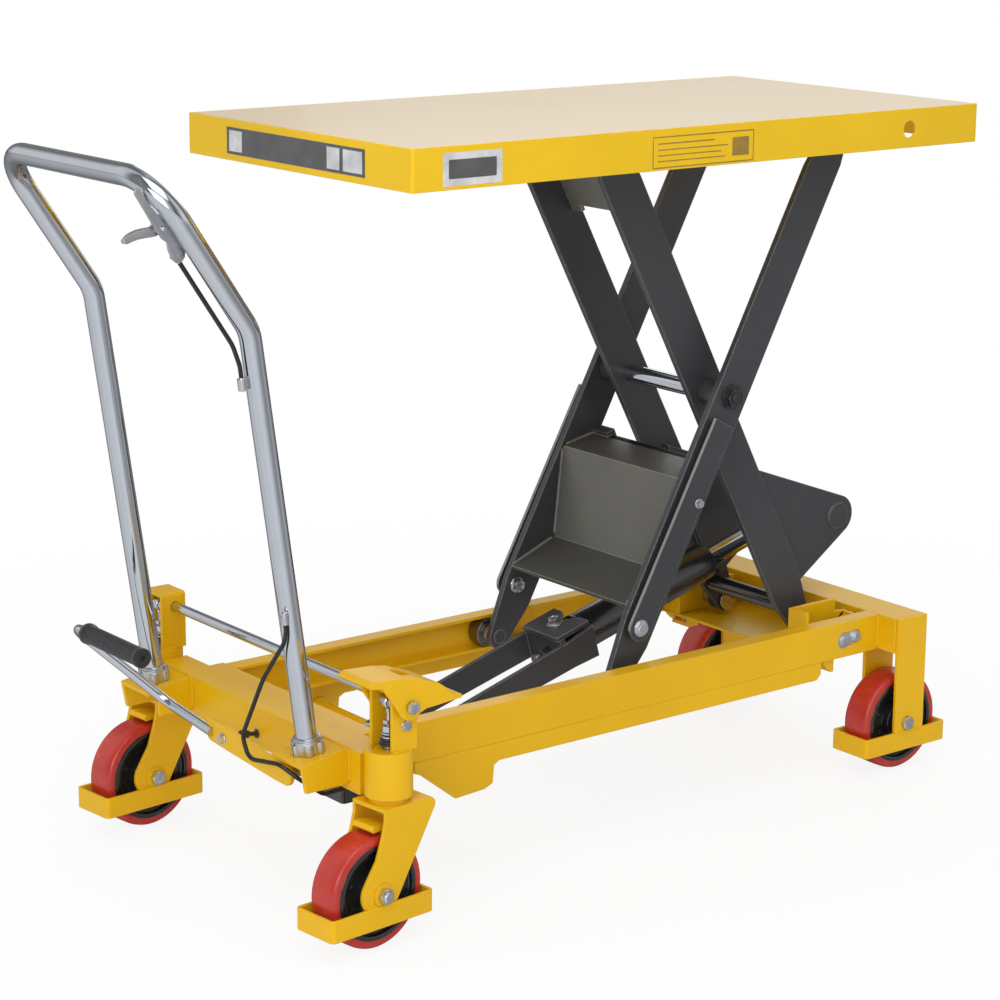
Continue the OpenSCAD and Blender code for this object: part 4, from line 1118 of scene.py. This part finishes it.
for side, side_name in SIDES:
    side_welds(side, side_name)


# ------------------------------------------------------------------ blank labels
def side_sticker(name, x0, z0, x1, z1, material, thickness, lift=0.0):
    """Rounded rectangle on the right side of the platform."""
    r = 1.5
    outline = []
    for x, z, start in ((x1 - r, z1 - r, 0), (x0 + r, z1 - r, 90), (x0 + r, z0 + r, 180),
                        (x1 - r, z0 + r, 270)):
        outline += arc_points(x, z, r, [start + turn for turn in (0, 30, 60, 90)])
    plate(name, outline, (0, PLATFORM_SIDE_Y - lift, 0), ALONG_X, thickness, material,
          "platform", bevel=0.0)


def side_bars(name, bars):
    """bars: (x0, z0, x1, z1) on the right side of the platform"""
    part = Part()
    y = PLATFORM_SIDE_Y
    for x0, z0, x1, z1 in bars:
        part.slab([(x0, y, z0), (x1, y, z0), (x1, y, z1), (x0, y, z1)], (0, -0.25, 0))
    part.finish(name, "label_line", "platform", sharp=0)


def end_panel(name, y0, z0, y1, z1, material, thickness, lift):
    """Rectangle on the -X end of the platform."""
    part = Part()
    x = PLATFORM_END_X - lift
    part.slab([(x, y0, z0), (x, y1, z0), (x, y1, z1), (x, y0, z1)], (-thickness, 0, 0))
    part.finish(name, material, "platform", sharp=0)


side_sticker("blank_maker_plate", -458, 959, -365, 1001, "label", 0.35)
side_sticker("blank_maker_plate_panel", -449, 968, -374, 992, "label_grey", 0.2, lift=0.35)
side_bars("notice_outline", [
    (-115, 957, 65, 958.6), (-115, 997.4, 65, 999),
    (-115, 958.6, -113.6, 997.4), (63.6, 958.6, 65, 997.4)])
side_bars("notice_blank_rows", [
    (-106, 988.5, -6, 990.2), (-106, 980.5, 18, 982), (-106, 973, 6, 974.5),
    (-106, 965.5, 14, 967), (26, 965.5, 56, 990.2)])
end_panel("end_strip_plate", -160, 963, 161, 999, "label_grey", 0.3, lift=0.0)
for letter, y0, y1 in (("a", 124, 155), ("b", -154, -112), ("c", -104, -76)):
    end_panel("end_strip_field_" + letter, y0, 967, y1, 995, "label", 0.25, lift=0.3)

# ------------------------------------------------------------------ floor
# Painted reflection, a glow that only glossy rays see: the floor's brightness in reflections,
# (azimuth as a fraction of a turn from -X, brightness)
FLOOR_REFLECTION = [
    (0.0, 0.92), (0.07, 0.88), (0.144, 0.95), (0.20, 1.0), (0.26, 0.74), (0.31, 0.38),
    (0.38, 0.30), (0.42, 0.62), (0.48, 0.26), (0.56, 0.10), (0.66, 0.10), (0.74, 0.14),
    (0.80, 0.45), (0.86, 0.85), (0.93, 0.78), (1.0, 0.92)]
FULL_TURN = (-math.pi, math.pi)


def floor_material():
    """Matt white that fades to pure white for the camera; glossy rays see it glow in bands, a
    painted reflection.
    """
    m = Material("studio_floor")
    m.shade({"Base Color": m.ramp(m.noise(scale=0.7), [(0.3, grey(0.93)), (0.7, grey(0.95))]),
             "Roughness": 0.9})
    rays = m.node("LightPath").outputs

    white = m.node("Emission", {0: grey(1), 1: 1.0}).outputs[0]
    distance = m.node("VectorMath", {0: m.coords}, operation="LENGTH").outputs["Value"]
    fade = m.multiply(m.remap(distance, over=(0.4, 1.9), to=(0.86, 1.0)),
                      rays["Is Camera Ray"])
    seen = m.mix_shaders(fade, m.surface.outputs[0], white)

    # Painted reflection: for glossy rays the floor glows, brighter or darker by azimuth.
    incoming = m.separate(m.node("NewGeometry").outputs["Incoming"])
    ray_x = m.multiply(incoming[0], -1.0)
    ray_y = m.multiply(incoming[1], -1.0)
    azimuth = m.remap(m.calculate("ARCTAN2", ray_y, ray_x), over=FULL_TURN, to=(0, 1))
    glow = m.ramp(azimuth, [(q, (v * 0.98, v, v * 1.02)) for q, v in FLOOR_REFLECTION])
    reflected = m.node("Emission", {0: glow, 1: 0.88}).outputs[0]
    share = m.multiply(rays["Is Glossy Ray"], 0.85)
    m.feed(m.output, {0: m.mix_shaders(share, seen, reflected)})
    return m


floor_surface = floor_material()
bpy.ops.mesh.primitive_plane_add(size=60, location=(0, 0, -0.0006))
floor = bpy.context.object
floor.name = "studio_floor"
floor.data.materials.append(floor_surface.data)

# ------------------------------------------------------------------ world
# Softboxes with darker gaps: (azimuth as a fraction of a turn from -X, brightness)
SOFTBOXES = [
    (0.0, 0.35), (0.07, 0.20), (0.12, 0.95), (0.19, 1.0), (0.23, 0.22), (0.29, 0.30),
    (0.33, 0.90), (0.40, 0.95), (0.44, 0.12), (0.50, 0.45), (0.58, 0.80), (0.66, 0.30),
    (0.74, 0.25), (0.80, 0.95), (0.88, 0.95), (0.93, 0.30), (1.0, 0.35)]
# Their strength by height: (position from low to straight up, brightness)
SOFTBOX_HEIGHTS = [(0.0, 0.35), (0.28, 0.55), (0.34, 1.0), (0.7, 1.0), (1.0, 0.75)]


def build_world():
    """Soft light from above, softboxes in reflections, white to the camera."""
    world = bpy.data.worlds.new("studio")
    scene.world = world
    g = Graph(world)

    def background(strength, colour):
        return g.node("Background", {0: colour, 1: strength}).outputs[0]

    rays = g.node("LightPath").outputs
    x, y, z = g.separate(g.texture_coords("Generated"))
    azimuth = g.remap(g.calculate("ARCTAN2", y, x), over=FULL_TURN, to=(0, 1))
    diffuse = g.ramp(g.remap(z, over=(-0.2, 1.0), to=(0, 1)),
                     [(0.0, (0.64, 0.63, 0.61)), (0.3, grey(0.86)), (1.0, grey(1.02))])
    boxes = g.ramp(azimuth, [(q, grey(v)) for q, v in SOFTBOXES])
    heights = g.ramp(g.remap(z, over=(-0.4, 1.0), to=(0, 1)),
                     [(q, grey(v)) for q, v in SOFTBOX_HEIGHTS])
    reflection = g.mix(1.0, boxes, heights, blend="MULTIPLY")
    light = g.mix_shaders(rays["Is Glossy Ray"], background(0.72, diffuse),
                          background(0.85, reflection))
    light = g.mix_shaders(rays["Is Camera Ray"], light, background(1.0, grey(1)))
    g.node("OutputWorld", {0: light})


build_world()


# ------------------------------------------------------------------ lights
def area_light(name, place, target, size, power):
    light = bpy.data.lights.new(name, "AREA")
    light.shape = "RECTANGLE"
    light.size, light.size_y = size
    light.energy = power
    obj = bpy.data.objects.new(name, light)
    scene.collection.objects.link(obj)
    obj.location = place
    aim = Vector(target) - Vector(place)
    obj.rotation_euler = aim.to_track_quat("-Z", "Y").to_euler()


area_light("key_top", place=(-1.2, -1.6, 3.6), target=(0, 0, 0.4), size=(2.6, 2.6), power=38)
area_light("front_fill", place=(-3.4, -2.2, 1.6), target=(0, 0, 0.5), size=(2.4, 1.8),
           power=38)
area_light("side_fill", place=(1.2, -3.8, 1.3), target=(0.1, 0, 0.5), size=(2.2, 1.8),
           power=2.5)
area_light("back_rim", place=(2.6, 2.6, 2.2), target=(0, 0, 0.5), size=(2.4, 1.6), power=16)

# ------------------------------------------------------------------ camera and output
# Columns: the camera's right, its up, its back, and its place
CAMERA_MATRIX = Matrix((
    (0.7872012, 0.1347762, -0.6017887, -2.498788),
    (-0.6166430, 0.1848457, -0.7652343, -2.995022),
    (0.0081027, 0.9734821, 0.2286195, 1.404475),
    (0, 0, 0, 1)))

camera_data = bpy.data.cameras.new("photo_camera")
camera = bpy.data.objects.new("photo_camera", camera_data)
scene.collection.objects.link(camera)
camera.matrix_world = CAMERA_MATRIX
camera_data.lens = 99.629
camera_data.sensor_width = 36
camera_data.shift_x = -0.0104
camera_data.shift_y = -0.0323
camera_data.clip_end = 100
scene.camera = camera

scene.view_settings.view_transform = "Standard"
scene.view_settings.look = "None"
scene.view_settings.exposure = 0.0
scene.view_settings.gamma = 1.0

bpy.context.view_layer.update()
